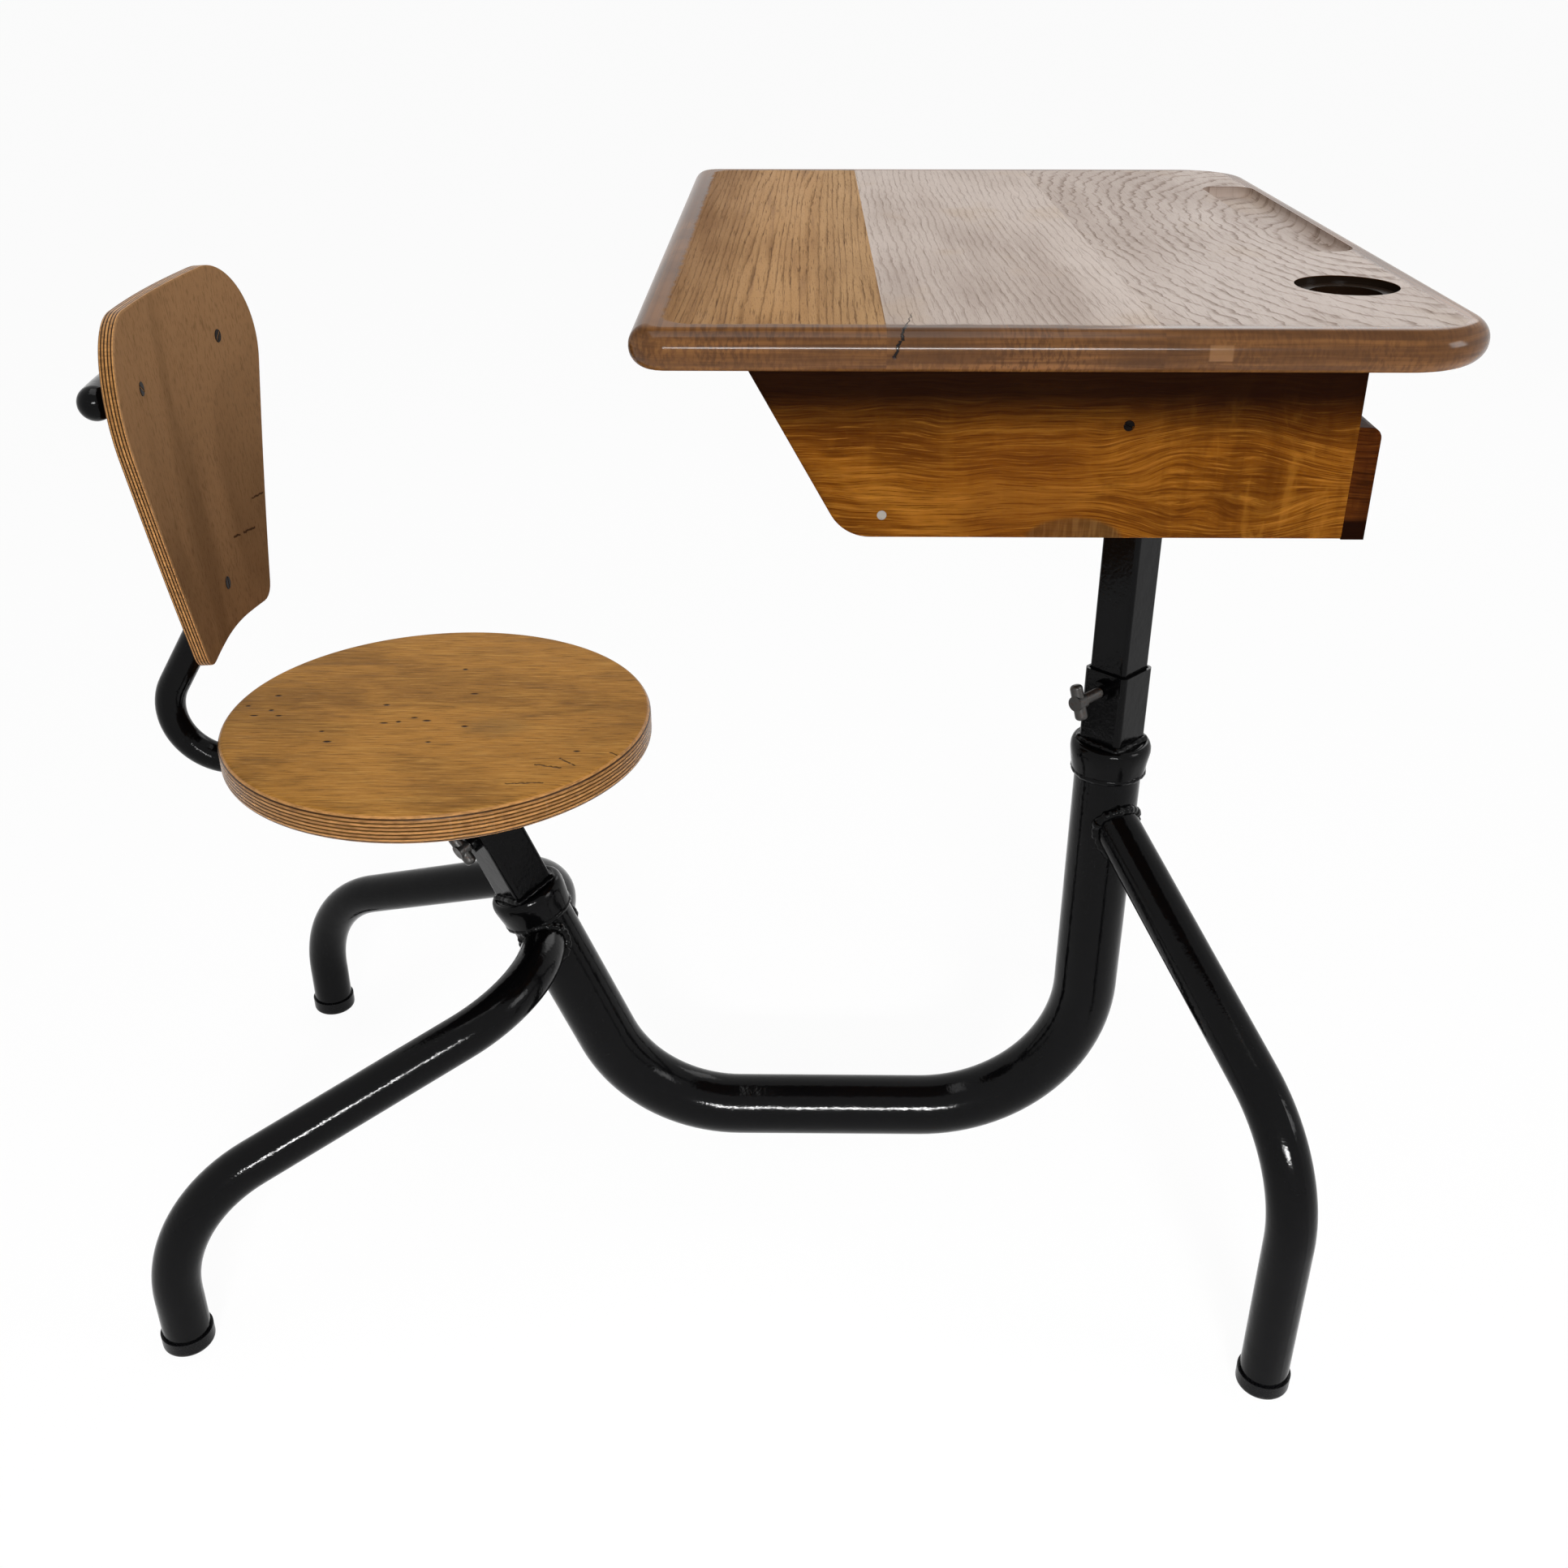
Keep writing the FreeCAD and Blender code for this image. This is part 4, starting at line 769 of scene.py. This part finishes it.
DESK_X = 0.2855
DESK_END = Vector((DESK_X, 0, 0.390))
SEAT_LEAN = math.radians(22.3)
SEAT_UP = Vector((-math.sin(SEAT_LEAN), 0, math.cos(SEAT_LEAN)))
SEAT_END = Vector((-0.0665, 0, 0.054)) + SEAT_UP * 0.2225
TUBE_RADIUS = 0.02415
LEG_RADIUS = 0.01685
# Where the legs leave the pipe, below its ends, and the first bend of the near desk leg
DESK_LEG_DROP, SEAT_LEG_DROP = 0.049, 0.036
LEG_BEND = (0.391, 0.2365, 0.199)
FAR_LEG_TURN = math.radians(78)
SLEEVE = Values(side=0.0352, corner=0.004, foot=0.0052)
WELD_SIDES = 10
WELD_STEPS = Values(leg=120, ring=110, corner=8, side=16)
# Rounded outside of a collar, from below: radius, and rise above the pipe end
COLLAR_SWELL = (
    (0.0262, -0.0172), (0.0268, -0.0176), (0.0273, -0.0145), (0.028, -0.01), (0.0287, -0.0055),
    (0.0291, -0.0015), (0.0288, 0.0018), (0.0279, 0.0042), (0.0265, 0.0056), (0.0248, 0.0058),
    (0.0235, 0.0048),
)
COLLAR_STEPS = 120
COLLAR_SEAM = (TUBE_RADIUS + 0.0008, -0.0185)


def bead(bm, path, radius, ripple, seed, lumpy=1.0):
    """A lumpy, rippled seam along a closed path."""
    travelled = 0.0
    loops = []
    for i, here in enumerate(path):
        before, after = path[i - 1], path[(i + 1) % len(path)]
        along = (after - before).normalized()
        side = along.cross(UP if abs(along.z) < 0.9 else FORWARD).normalized()
        lift = side.cross(along)
        travelled += (here - before).length if i else 0.0
        lump = 1 + 0.34 * lumpy * noise.noise(here * 190 + Vector((seed, 0, 0)))
        scallop = 1 + 0.2 * lumpy * abs(math.sin(math.pi * travelled / ripple))
        ring = []
        for k in range(WELD_SIDES):
            angle = TURN * k / WELD_SIDES
            pit = 1 + 0.12 * lumpy * noise.noise(here * 400 + Vector((k, seed, 0)))
            reach = radius * lump * scallop * pit
            out = side * math.cos(angle) + lift * math.sin(angle)
            ring.append(bm.verts.new(here + out * reach))
        loops.append(ring)
    loops_to_faces(bm, loops, closed=True)


def leg_seam(joint, direction, tube_axis):
    """The closed line where a leg leaves the side of the pipe."""
    direction = Vector(direction).normalized()
    first = direction.orthogonal().normalized()
    second = direction.cross(first)
    tube_axis = Vector(tube_axis).normalized()
    flat_way = direction - tube_axis * direction.dot(tube_axis)
    path = []
    for i in range(WELD_STEPS.leg):
        angle = TURN * i / WELD_STEPS.leg
        offset = (first * math.cos(angle) + second * math.sin(angle)) * LEG_RADIUS
        flat_offset = offset - tube_axis * offset.dot(tube_axis)
        a, b = flat_way.length_squared, flat_offset.dot(flat_way)
        c = flat_offset.length_squared - TUBE_RADIUS ** 2
        reach = (-b + math.sqrt(max(b * b - a * c, 0.0))) / a
        path.append(Vector(joint) + offset + direction * reach)
    return path


def ring_seam(axis, radius, height):
    """A circle about an axis frame."""
    steps = WELD_STEPS.ring
    return [axis @ on_circle(radius, TURN * i / steps, height) for i in range(steps)]


def sleeve_seam(axis):
    """The sleeve's rounded square about an axis frame, set corner forward."""
    corner, per_corner, per_side = SLEEVE.corner, WELD_STEPS.corner, WELD_STEPS.side
    half = SLEEVE.side / 2 - corner
    quarter = [Vector((half, half, 0)) + on_circle(1, i * math.pi / 2 / per_corner) * corner
               for i in range(per_corner + 1)]
    quarter += [Vector((half - 2 * half * i / per_side, half + corner, 0))
                for i in range(1, per_side)]
    foot = Vector((0, 0, SLEEVE.foot))
    turns = [Matrix.Rotation(n * math.pi / 2 + math.pi / 4, 3, "Z") for n in range(4)]
    return [axis @ (turn @ spot + foot) for turn in turns for spot in quarter]


def collar_swell(bm, axis, seed):
    """A collar hammered round by hand, thick with paint."""
    def dented(radius, angle, rise):
        here = on_circle(radius, angle, rise) * 90 + Vector((seed, 0, 0))
        return radius * (1 + 0.016 * noise.noise(here))

    turned(bm, COLLAR_SWELL, axis, COLLAR_STEPS, dented, closed=True)


class SCHOOLDESK_OT_weld_seams(bpy.types.Operator):
    """Weld seams where the legs, collars and sleeves meet the pipe"""
    bl_idname = "schooldesk.weld_seams"
    bl_label = "Weld seams"

    def execute(self, context):
        sizes = context.scene.desk_sizes
        radius, ripple = sizes.bead, sizes.ripple
        bm = bmesh.new()
        joint = DESK_END - UP * DESK_LEG_DROP
        out, aside, height = LEG_BEND[0] - DESK_X, LEG_BEND[1], LEG_BEND[2]
        for seed, azimuth in ((1, -math.atan2(aside, out)), (2, FAR_LEG_TURN)):
            way = on_circle(math.hypot(out, aside), azimuth, height - joint.z)
            bead(bm, leg_seam(joint, way, UP), radius, ripple, seed)
        joint = SEAT_END - SEAT_UP * SEAT_LEG_DROP
        for seed, side in ((3, -1), (4, 1)):
            bead(bm, leg_seam(joint, ACROSS * side, SEAT_UP), radius, ripple, seed)
        for seed, end, way in ((5, DESK_END, UP), (6, SEAT_END, SEAT_UP)):
            axis = facing_frame(end, way)
            bead(bm, ring_seam(axis, *COLLAR_SEAM), radius * 0.72, ripple, seed, 0.6)
            collar_swell(bm, axis, seed + 20)
            bead(bm, sleeve_seam(axis), radius * 0.8, ripple, seed + 10)
        paint = bpy.data.materials["black_paint"]
        piece("weld_seams", bm, paint, "frame", "frame_black", smooth=70)
        return {"FINISHED"}


class SCHOOLDESK_OT_frame_paint(bpy.types.Operator):
    """Black paint on the pipes, posts, sleeves, collars and plates"""
    bl_idname = "schooldesk.frame_paint"
    bl_label = "Frame paint"

    def execute(self, context):
        paint = black_paint(context.scene.desk_tones)
        for entry in RECORD["subparts"]:
            if entry["material_slot"] == "frame_black":
                dress(entry["node"], paint)
        return {"FINISHED"}


class SCHOOLDESK_OT_foot_caps(bpy.types.Operator):
    """Foot caps under the four legs"""
    bl_idname = "schooldesk.foot_caps"
    bl_label = "Foot caps"

    def execute(self, context):
        plastic = foot_plastic(context.scene.desk_tones)
        for end in ("desk", "seat"):
            for side in ("right", "left"):
                dress(f"{end}_foot_{side}", plastic)
        return {"FINISHED"}


# Clamps

CLAMP_OUT = Vector((-1, -1, 0)).normalized()
SEAT_CLAMP_OUT = Matrix.Rotation(-SEAT_LEAN, 3, "Y") @ CLAMP_OUT
# Middle of the sleeve, way out, and how far the T-bar stands from the sleeve
CLAMPS = {
    "desk": (DESK_END + UP * 0.049, CLAMP_OUT, 0.028),
    "seat": (SEAT_END + SEAT_UP * 0.062, SEAT_CLAMP_OUT, 0.011),
}
SLEEVE_HALF = 0.0175
HUB_HALF = 0.0045
THREAD = Values(radius=0.004, start=0.0152, end_gap=0.0001, steps=40, rows=8)
# Pin that carries the T-bar's hub: radius, and height above the hub's foot
PIN = ((0.0025, -0.0004), (0.0025, 0.0066), (0.002, 0.007))
PIN_STEPS = 24


def threaded_rod(bm, axis, low, high, pitch):
    """A rod with a rolled thread, tapered to a plain end at both ends."""
    rows = max(2, round((high - low) / pitch * THREAD.rows))
    depth = pitch * 0.34

    def rolled(radius, angle, height):
        fade = min(1.0, min(height - low, high - height) / pitch)
        wave = abs(2 * ((height / pitch - angle / TURN) % 1.0) - 1)
        return radius - depth * (1 - wave * fade)

    profile = [(THREAD.radius, low + (high - low) * r / rows) for r in range(rows + 1)]
    turned(bm, profile, axis, THREAD.steps, rolled)


class SCHOOLDESK_OT_clamps(bpy.types.Operator):
    """Clamp screws: nuts, threaded shanks and T-bars"""
    bl_idname = "schooldesk.clamps"
    bl_label = "Clamp screws"

    def execute(self, context):
        tones, sizes = context.scene.desk_tones, context.scene.desk_sizes
        steel = dark_steel("clamp_steel", tones.steel, 0.5)
        for end, (base, way, reach) in CLAMPS.items():
            dress(f"{end}_clamp_nut", bpy.data.materials["black_paint"])
            dress(f"{end}_clamp_bar", steel)
            axis = facing_frame(base, way)
            hub = SLEEVE_HALF + reach - HUB_HALF
            bm = bmesh.new()
            threaded_rod(bm, axis, THREAD.start, hub - THREAD.end_gap, sizes.pitch)
            turned(bm, [(radius, hub + rise) for radius, rise in PIN], axis, PIN_STEPS)
            piece(f"{end}_clamp_thread", bm, steel, f"{end}_screw", "clamp_steel",
                  f"{end}_clamp_shank", smooth=30)
        return {"FINISHED"}


# Timber

class SCHOOLDESK_OT_top_boards(bpy.types.Operator):
    """Oak boards of the top"""
    bl_idname = "schooldesk.top_boards"
    bl_label = "Top boards"

    def execute(self, context):
        tones, sizes = context.scene.desk_tones, context.scene.desk_sizes
        for board in GRAIN:
            dress(f"top_board_{board}", oak_board(board, tones, sizes))
        return {"FINISHED"}


class SCHOOLDESK_OT_locker(bpy.types.Operator):
    """Locker sides, floor, cleats and back rail"""
    bl_idname = "schooldesk.locker"
    bl_label = "Locker"

    def execute(self, context):
        tones = context.scene.desk_tones
        golden = (tones.side, tones.side_light, tones.side_dark)
        dress("locker_side_right", locker_varnish("side_right", golden, 2.0, marked=True))
        plain = locker_varnish("side_plain", golden, 7.5)
        for node in ("locker_side_left", "locker_floor", "top_cleat_right", "top_cleat_left"):
            dress(node, plain)
        red_brown = (tones.rail, Shade.rail_light, Shade.rail_dark)
        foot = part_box("locker_back_rail")[0].z
        dress("locker_back_rail", locker_varnish("rail_varnish", red_brown, 9.0, foot=foot))
        return {"FINISHED"}


SEAT_STEPS = 180
SEAT_EDGE = Values(soft=0.005, steps=8, half_groove=0.0003, flat_inset=0.02)


class SCHOOLDESK_OT_round_seat(bpy.types.Operator):
    """Round plywood seat with its plies showing at the rim"""
    bl_idname = "schooldesk.round_seat"
    bl_label = "Round seat"

    def execute(self, context):
        tones, sizes = context.scene.desk_tones, context.scene.desk_sizes
        low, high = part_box("seat_disc")
        radius, thick = (high.x - low.x) / 2, high.z - low.z
        axis = Matrix.Translation(((low.x + high.x) / 2, (low.y + high.y) / 2, low.z))
        count = round(thick / sizes.ply)
        lines = [thick - layer * sizes.ply for layer in range(count - 1, 0, -1)]
        edge = ply_profile(thick, SEAT_EDGE.soft, SEAT_EDGE.steps, lines,
                           sizes.ply_groove, SEAT_EDGE.half_groove)
        inset = SEAT_EDGE.flat_inset
        bm = bmesh.new()
        turned(bm, [(radius - inward, height) for inward, height in (
            (inset, 0.0), *edge, (inset, thick))], axis, SEAT_STEPS)
        piece("seat_round", bm, seat_veneer(tones, sizes), "seat", "seat_ply", "seat_disc",
              smooth=50)
        return {"FINISHED"}


# The bent panel: its corners before bending are across, height and radius
PANEL = Values(
    radius=0.650, lean=math.radians(3.2), thick=0.010, soft=0.0016,
    x=-0.34125, z=0.513, step=0.004, edge_steps=5, half_groove=0.0002, strips=44,
    corners=(
        (-0.067, -0.037, 0.014), (0.0, -0.031, 0.300), (0.067, -0.037, 0.014),
        (0.150, 0.201, 0.057), (-0.150, 0.201, 0.057),
    ),
)
PANEL_LEAN = Matrix.Rotation(-PANEL.lean, 4, "Y")
PANEL_STAND = Matrix.Translation((PANEL.x, 0, PANEL.z)) @ PANEL_LEAN


def rounded_outline(corners, step):
    """A closed line through rounded corners, sampled about one step apart."""
    spots = []
    count = len(corners)
    for i, (y, z, radius) in enumerate(corners):
        corner = Vector((y, z))
        back = (Vector(corners[i - 1][:2]) - corner).normalized()
        ahead = (Vector(corners[(i + 1) % count][:2]) - corner).normalized()
        half = back.angle(ahead) / 2
        centre = corner + (back + ahead).normalized() * (radius / math.sin(half))
        first = corner + back * (radius / math.tan(half)) - centre
        last = corner + ahead * (radius / math.tan(half)) - centre
        turn = first.angle_signed(last)
        parts = max(2, math.ceil(abs(turn) * radius / step))
        for k in range(parts + 1):
            angle = -turn * k / parts
            cos, sin = math.cos(angle), math.sin(angle)
            spots.append(centre + Vector(
                (first.x * cos - first.y * sin, first.x * sin + first.y * cos)))
    dense = []
    for i, spot in enumerate(spots):
        following = spots[(i + 1) % len(spots)]
        runs = max(1, round((following - spot).length / step))
        dense += [spot.lerp(following, k / runs) for k in range(runs)]
    return dense


class SCHOOLDESK_OT_back_panel(bpy.types.Operator):
    """Bent plywood back panel with softened, layered edges"""
    bl_idname = "schooldesk.back_panel"
    bl_label = "Back panel"

    def execute(self, context):
        tones, sizes = context.scene.desk_tones, context.scene.desk_sizes
        line = rounded_outline(PANEL.corners, PANEL.step)
        count = len(line)
        ways = [(line[(i + 1) % count] - line[i - 1]).normalized() for i in range(count)]
        thick, soft, ply = PANEL.thick, PANEL.soft, sizes.back_ply
        lines = [layer * ply for layer in range(1, round(thick / ply))]
        profile = ply_profile(thick, soft, PANEL.edge_steps, lines, sizes.ply_groove,
                              PANEL.half_groove)
        bm = bmesh.new()
        depth_layer = bm.verts.layers.float.new("ply_depth")
        rim_layer = bm.verts.layers.float.new("ply_rim")
        loops = []
        for inset, depth in profile:
            ring = [spot + Vector((-way.y, way.x)) * inset for spot, way in zip(line, ways)]
            loops.append([bm.verts.new((depth, at.x, at.y)) for at in ring])
        loops_to_faces(bm, loops)

        widest = max(spot.x for spot in line)
        for i in range(1, PANEL.strips):
            at = -widest + 2 * widest * i / PANEL.strips
            bmesh.ops.bisect_plane(bm, geom=bm.verts[:] + bm.edges[:] + bm.faces[:], dist=1e-7,
                                   plane_co=(0, at, 0), plane_no=ACROSS)
        radius = PANEL.radius
        for vert in bm.verts:
            depth, y, z = vert.co
            vert[depth_layer] = depth
            vert[rim_layer] = 1.0 if soft * 0.5 < depth < thick - soft * 0.5 else 0.0
            bent = radius - math.sqrt((radius + depth) ** 2 - y * y)
            vert.co = PANEL_STAND @ Vector((bent, y, z))
        piece("back_panel_bent", bm, back_veneer(tones, sizes), "seat", "back_ply", "back_panel",
              smooth=50)
        return {"FINISHED"}


# Screws

SCREW_STEPS = 28
SCREW_LIP = 0.0003
# Radius of the head, radius of the shank, height of the head
SCREW = (0.0045, 0.0021, 0.0024)
SIDE_SCREW = (0.0029, 0.0014, 0.0016)
PANEL_HEAD_RISE = 0.0004
PANEL_SCREW = Values(aside=0.072, height=0.154)
UNDER_TOP = 0.7295
LOCKER_HALF = 0.237
CLEAT_Y = 0.211
CLEAT_SCREWS_X = (0.08139, 0.164, 0.3002)
RAIL_FOOT = 0.6315
# Middle of a plate, distance of its holes from there, and height of its underside
HEAD_PLATE = (DESK_X, 0.045, UNDER_TOP - 0.004)
SEAT_PLATE = (-0.20425, 0.048, 0.385)
FIRST_SLOT_TURN, SLOT_TURN = 0.4, 1.1


def slotted_screw(bm, axis, screw, reach, slot_width, slot_depth, turn):
    """A countersunk screw along -Z of its frame, its slot cut into the flat of the head."""
    head, shank, height = screw
    spin = axis @ Matrix.Rotation(turn, 4, "Z")
    profile = [(shank * 0.35, -reach), (shank, shank * 1.6 - reach), (shank, -height),
               (head, -SCREW_LIP), (head - SCREW_LIP, 0.0)]
    turned(bm, profile, spin, SCREW_STEPS)
    bm.faces.ensure_lookup_table()
    faces = [bm.faces[-1]]
    across = spin.to_3x3() @ FORWARD
    centre = spin.translation
    for side in (-1, 1):
        rims = [item for face in faces for item in (*face.edges, *face.verts)]
        cut = bmesh.ops.bisect_plane(
            bm, geom=[*faces, *dict.fromkeys(rims)], dist=1e-8, plane_no=across,
            plane_co=centre + across * (side * slot_width / 2))["geom"]
        faces = [item for item in cut if isinstance(item, bmesh.types.BMFace)]
    strip = min(faces, key=lambda face: abs((face.calc_center_median() - centre).dot(across)))
    down = -(spin.to_3x3() @ UP) * slot_depth
    for item in bmesh.ops.extrude_face_region(bm, geom=[strip])["geom"]:
        if isinstance(item, bmesh.types.BMVert):
            item.co += down
    bmesh.ops.delete(bm, geom=[strip], context="FACES_ONLY")


def screw_places():
    """Each group's body, screw and reach, where its heads are and which way they face."""
    sides = (-1, 1)
    plates = [[(Vector((x + a * hole, b * hole, z)), -UP) for a in sides for b in sides]
              for x, hole, z in (HEAD_PLATE, SEAT_PLATE)]
    cleats = [(Vector((x, side * CLEAT_Y, UNDER_TOP - 0.048)), -UP)
              for x in CLEAT_SCREWS_X for side in sides]
    locker = [(Vector((DESK_X - 0.0595, side * LOCKER_HALF, 0.692)), ACROSS * side)
              for side in sides]
    rail = [(Vector((DESK_X + 0.070, side * (LOCKER_HALF - 0.0075), RAIL_FOOT + height)), FORWARD)
            for side in sides for height in (0.014, 0.045)]
    radius = PANEL.radius
    spread = math.asin(PANEL_SCREW.aside / radius)
    panel = []
    for angle, height in ((0.0, 0.0), *((side * spread, PANEL_SCREW.height) for side in sides)):
        inward = Vector((math.cos(angle), -math.sin(angle), 0))
        spot = Vector((radius, 0, height)) - inward * (radius - PANEL_HEAD_RISE)
        panel.append((PANEL_STAND @ spot, PANEL_LEAN.to_3x3() @ inward))
    return {
        "head_plate_screws": ("desk", SCREW, 0.018, plates[0]),
        "seat_plate_screws": ("seat", SCREW, 0.018, plates[1]),
        "cleat_screws": ("desk", SCREW, 0.060, cleats),
        "locker_side_screws": ("desk", SIDE_SCREW, 0.030, locker),
        "back_rail_screws": ("desk", SCREW, 0.040, rail),
        "back_panel_screws": ("seat", SCREW, 0.013, panel),
    }


class SCHOOLDESK_OT_screws(bpy.types.Operator):
    """Slotted screws and the floor nails"""
    bl_idname = "schooldesk.screws"
    bl_label = "Screws and nails"

    def execute(self, context):
        tones, sizes = context.scene.desk_tones, context.scene.desk_sizes
        slot = (sizes.slot_width, sizes.slot_depth)
        steel = dark_steel("screw_steel", tones.screw, 0.3, metal=0.0, gloss=0.03)
        turn = FIRST_SLOT_TURN
        for group, (body, screw, reach, heads) in screw_places().items():
            bm = bmesh.new()
            for spot, way in heads:
                turn += SLOT_TURN
                slotted_screw(bm, facing_frame(spot, way), screw, reach, *slot, turn)
            piece(f"{group}_slotted", bm, steel, body, "screw_steel", group, smooth=35)
        dress("floor_nails", dark_steel("nail_steel", tones.nail, 0.25))
        return {"FINISHED"}


# Stage

FLOOR_HALF = 60.0
CAMERA = Values(place=(0.05865, -1.0444, 0.91745), turn=(61.73, 0.0, 0.64),
          lens=36.68, sensor=36.0)
# Spread of an open lamp and of one with a grid before it
OPEN, GRID = math.radians(180), math.radians(24)
# Place, target, size, power and spread of each lamp
LAMPS = {
    "strip": ((0.33, -4.0, 1.67), (0.12, 0.0, 0.4), (1.45, 0.14), 70.0, OPEN),
    "low_strip": ((0.33, -3.9, 1.63), (0.1, 0.0, -0.6), (1.45, 0.2), 12.0, GRID),
    "overhead": ((-0.2, 0.0, 2.75), (0.05, 0.0, 0.5), (1.7, 1.7), 27.0, OPEN),
    "rear": ((1.3, 2.4, 1.9), (0.1, 0.0, 0.6), (1.2, 1.2), 12.0, OPEN),
    "side": ((2.4, -0.9, 1.5), (-0.2, 0.0, 0.5), (0.8, 0.8), 15.0, OPEN),
}
WORLD_LEVEL = 0.3
# How far the floor shows as white backdrop; the rest keeps the shadow
BACKDROP_SHARE = 0.95


def add_floor(scene):
    """A pale floor, mostly white where it is seen."""
    bm = bmesh.new()
    bmesh.ops.create_grid(bm, x_segments=2, y_segments=2, size=FLOOR_HALF)
    data = bpy.data.meshes.new("floor")
    bm.to_mesh(data)
    bm.free()
    floor = bpy.data.objects.new("floor", data)
    scene.collection.objects.link(floor)
    f = Finish("floor_white")
    f.surface(Base_Color=scene.desk_tones.floor, Roughness=0.9, Specular_IOR_Level=0.0)
    glow = f.node("Emission", {"Color": Shade.white, "Strength": 1.0}).outputs[0]
    blend = f.node("MixShader", {
        0: f.times(f.seen(), BACKDROP_SHARE), 1: f.shader.outputs[0], 2: glow}).outputs[0]
    f.feed(f.tree.nodes["Material Output"].inputs["Surface"], blend)
    data.materials.append(f.material)


def add_world(scene):
    """Even light on the object, white where the world is seen."""
    world = bpy.data.worlds.new("studio")
    scene.world = world
    world.use_nodes = True
    sky = Nodes(world.node_tree)
    inputs = sky.tree.nodes["Background"].inputs
    sky.feed(inputs["Color"], Shade.white)
    level = sky.span(sky.seen(), 0.0, 1.0, WORLD_LEVEL, 1.0, kind="LINEAR")
    sky.feed(inputs["Strength"], level)


def add_lamps(scene):
    """Soft rectangular lamps."""
    for name, (place, target, size, power, spread) in LAMPS.items():
        lamp = bpy.data.lights.new(name, "AREA")
        lamp.shape = "RECTANGLE"
        lamp.size, lamp.size_y = size
        lamp.energy = power
        lamp.spread = spread
        item = bpy.data.objects.new(name, lamp)
        item.location = place
        way = Vector(target) - Vector(place)
        item.rotation_euler = way.to_track_quat("-Z", "Y").to_euler()
        scene.collection.objects.link(item)


def add_camera(scene):
    """The camera at the photograph's viewing angle."""
    camera = bpy.data.cameras.new("camera")
    camera.lens = CAMERA.lens
    camera.sensor_width = CAMERA.sensor
    item = bpy.data.objects.new("camera", camera)
    item.location = CAMERA.place
    item.rotation_euler = [math.radians(a) for a in CAMERA.turn]
    scene.collection.objects.link(item)
    scene.camera = item


class SCHOOLDESK_OT_stage(bpy.types.Operator):
    """Floor, lamps, world and camera"""
    bl_idname = "schooldesk.stage"
    bl_label = "Stage"

    def execute(self, context):
        context.scene.view_settings.view_transform = "Standard"
        for add in (add_floor, add_world, add_lamps, add_camera):
            add(context.scene)
        return {"FINISHED"}


class SCHOOLDESK_PT_panel(bpy.types.Panel):
    """The desk's makers and settings"""
    bl_label = "School desk"
    bl_idname = "SCHOOLDESK_PT_panel"
    bl_space_type = "VIEW_3D"
    bl_region_type = "UI"
    bl_category = "Desk"

    def draw(self, context):
        for maker in MAKERS:
            self.layout.operator(maker.bl_idname)
        for settings in (context.scene.desk_tones, context.scene.desk_sizes):
            for key in settings.bl_rna.properties.keys():
                if key not in ("rna_type", "name"):
                    self.layout.prop(settings, key)


MAKERS = (
    SCHOOLDESK_OT_stage,
    SCHOOLDESK_OT_frame_paint,
    SCHOOLDESK_OT_weld_seams,
    SCHOOLDESK_OT_foot_caps,
    SCHOOLDESK_OT_clamps,
    SCHOOLDESK_OT_top_boards,
    SCHOOLDESK_OT_locker,
    SCHOOLDESK_OT_round_seat,
    SCHOOLDESK_OT_back_panel,
    SCHOOLDESK_OT_screws,
)
SETTINGS = {"desk_tones": DeskTones, "desk_sizes": DeskSizes}


def register():
    for group in SETTINGS.values():
        bpy.utils.register_class(group)
    for name, group in SETTINGS.items():
        setattr(bpy.types.Scene, name, bpy.props.PointerProperty(type=group))
    for item in (*MAKERS, SCHOOLDESK_PT_panel):
        bpy.utils.register_class(item)


def unregister():
    for item in (SCHOOLDESK_PT_panel, *reversed(MAKERS)):
        bpy.utils.unregister_class(item)
    for name in SETTINGS:
        delattr(bpy.types.Scene, name)
    for group in SETTINGS.values():
        bpy.utils.unregister_class(group)


def main():
    register()
    for maker in MAKERS:
        group, name = maker.bl_idname.split(".")
        getattr(getattr(bpy.ops, group), name)()


if __name__ == "__main__":
    main()
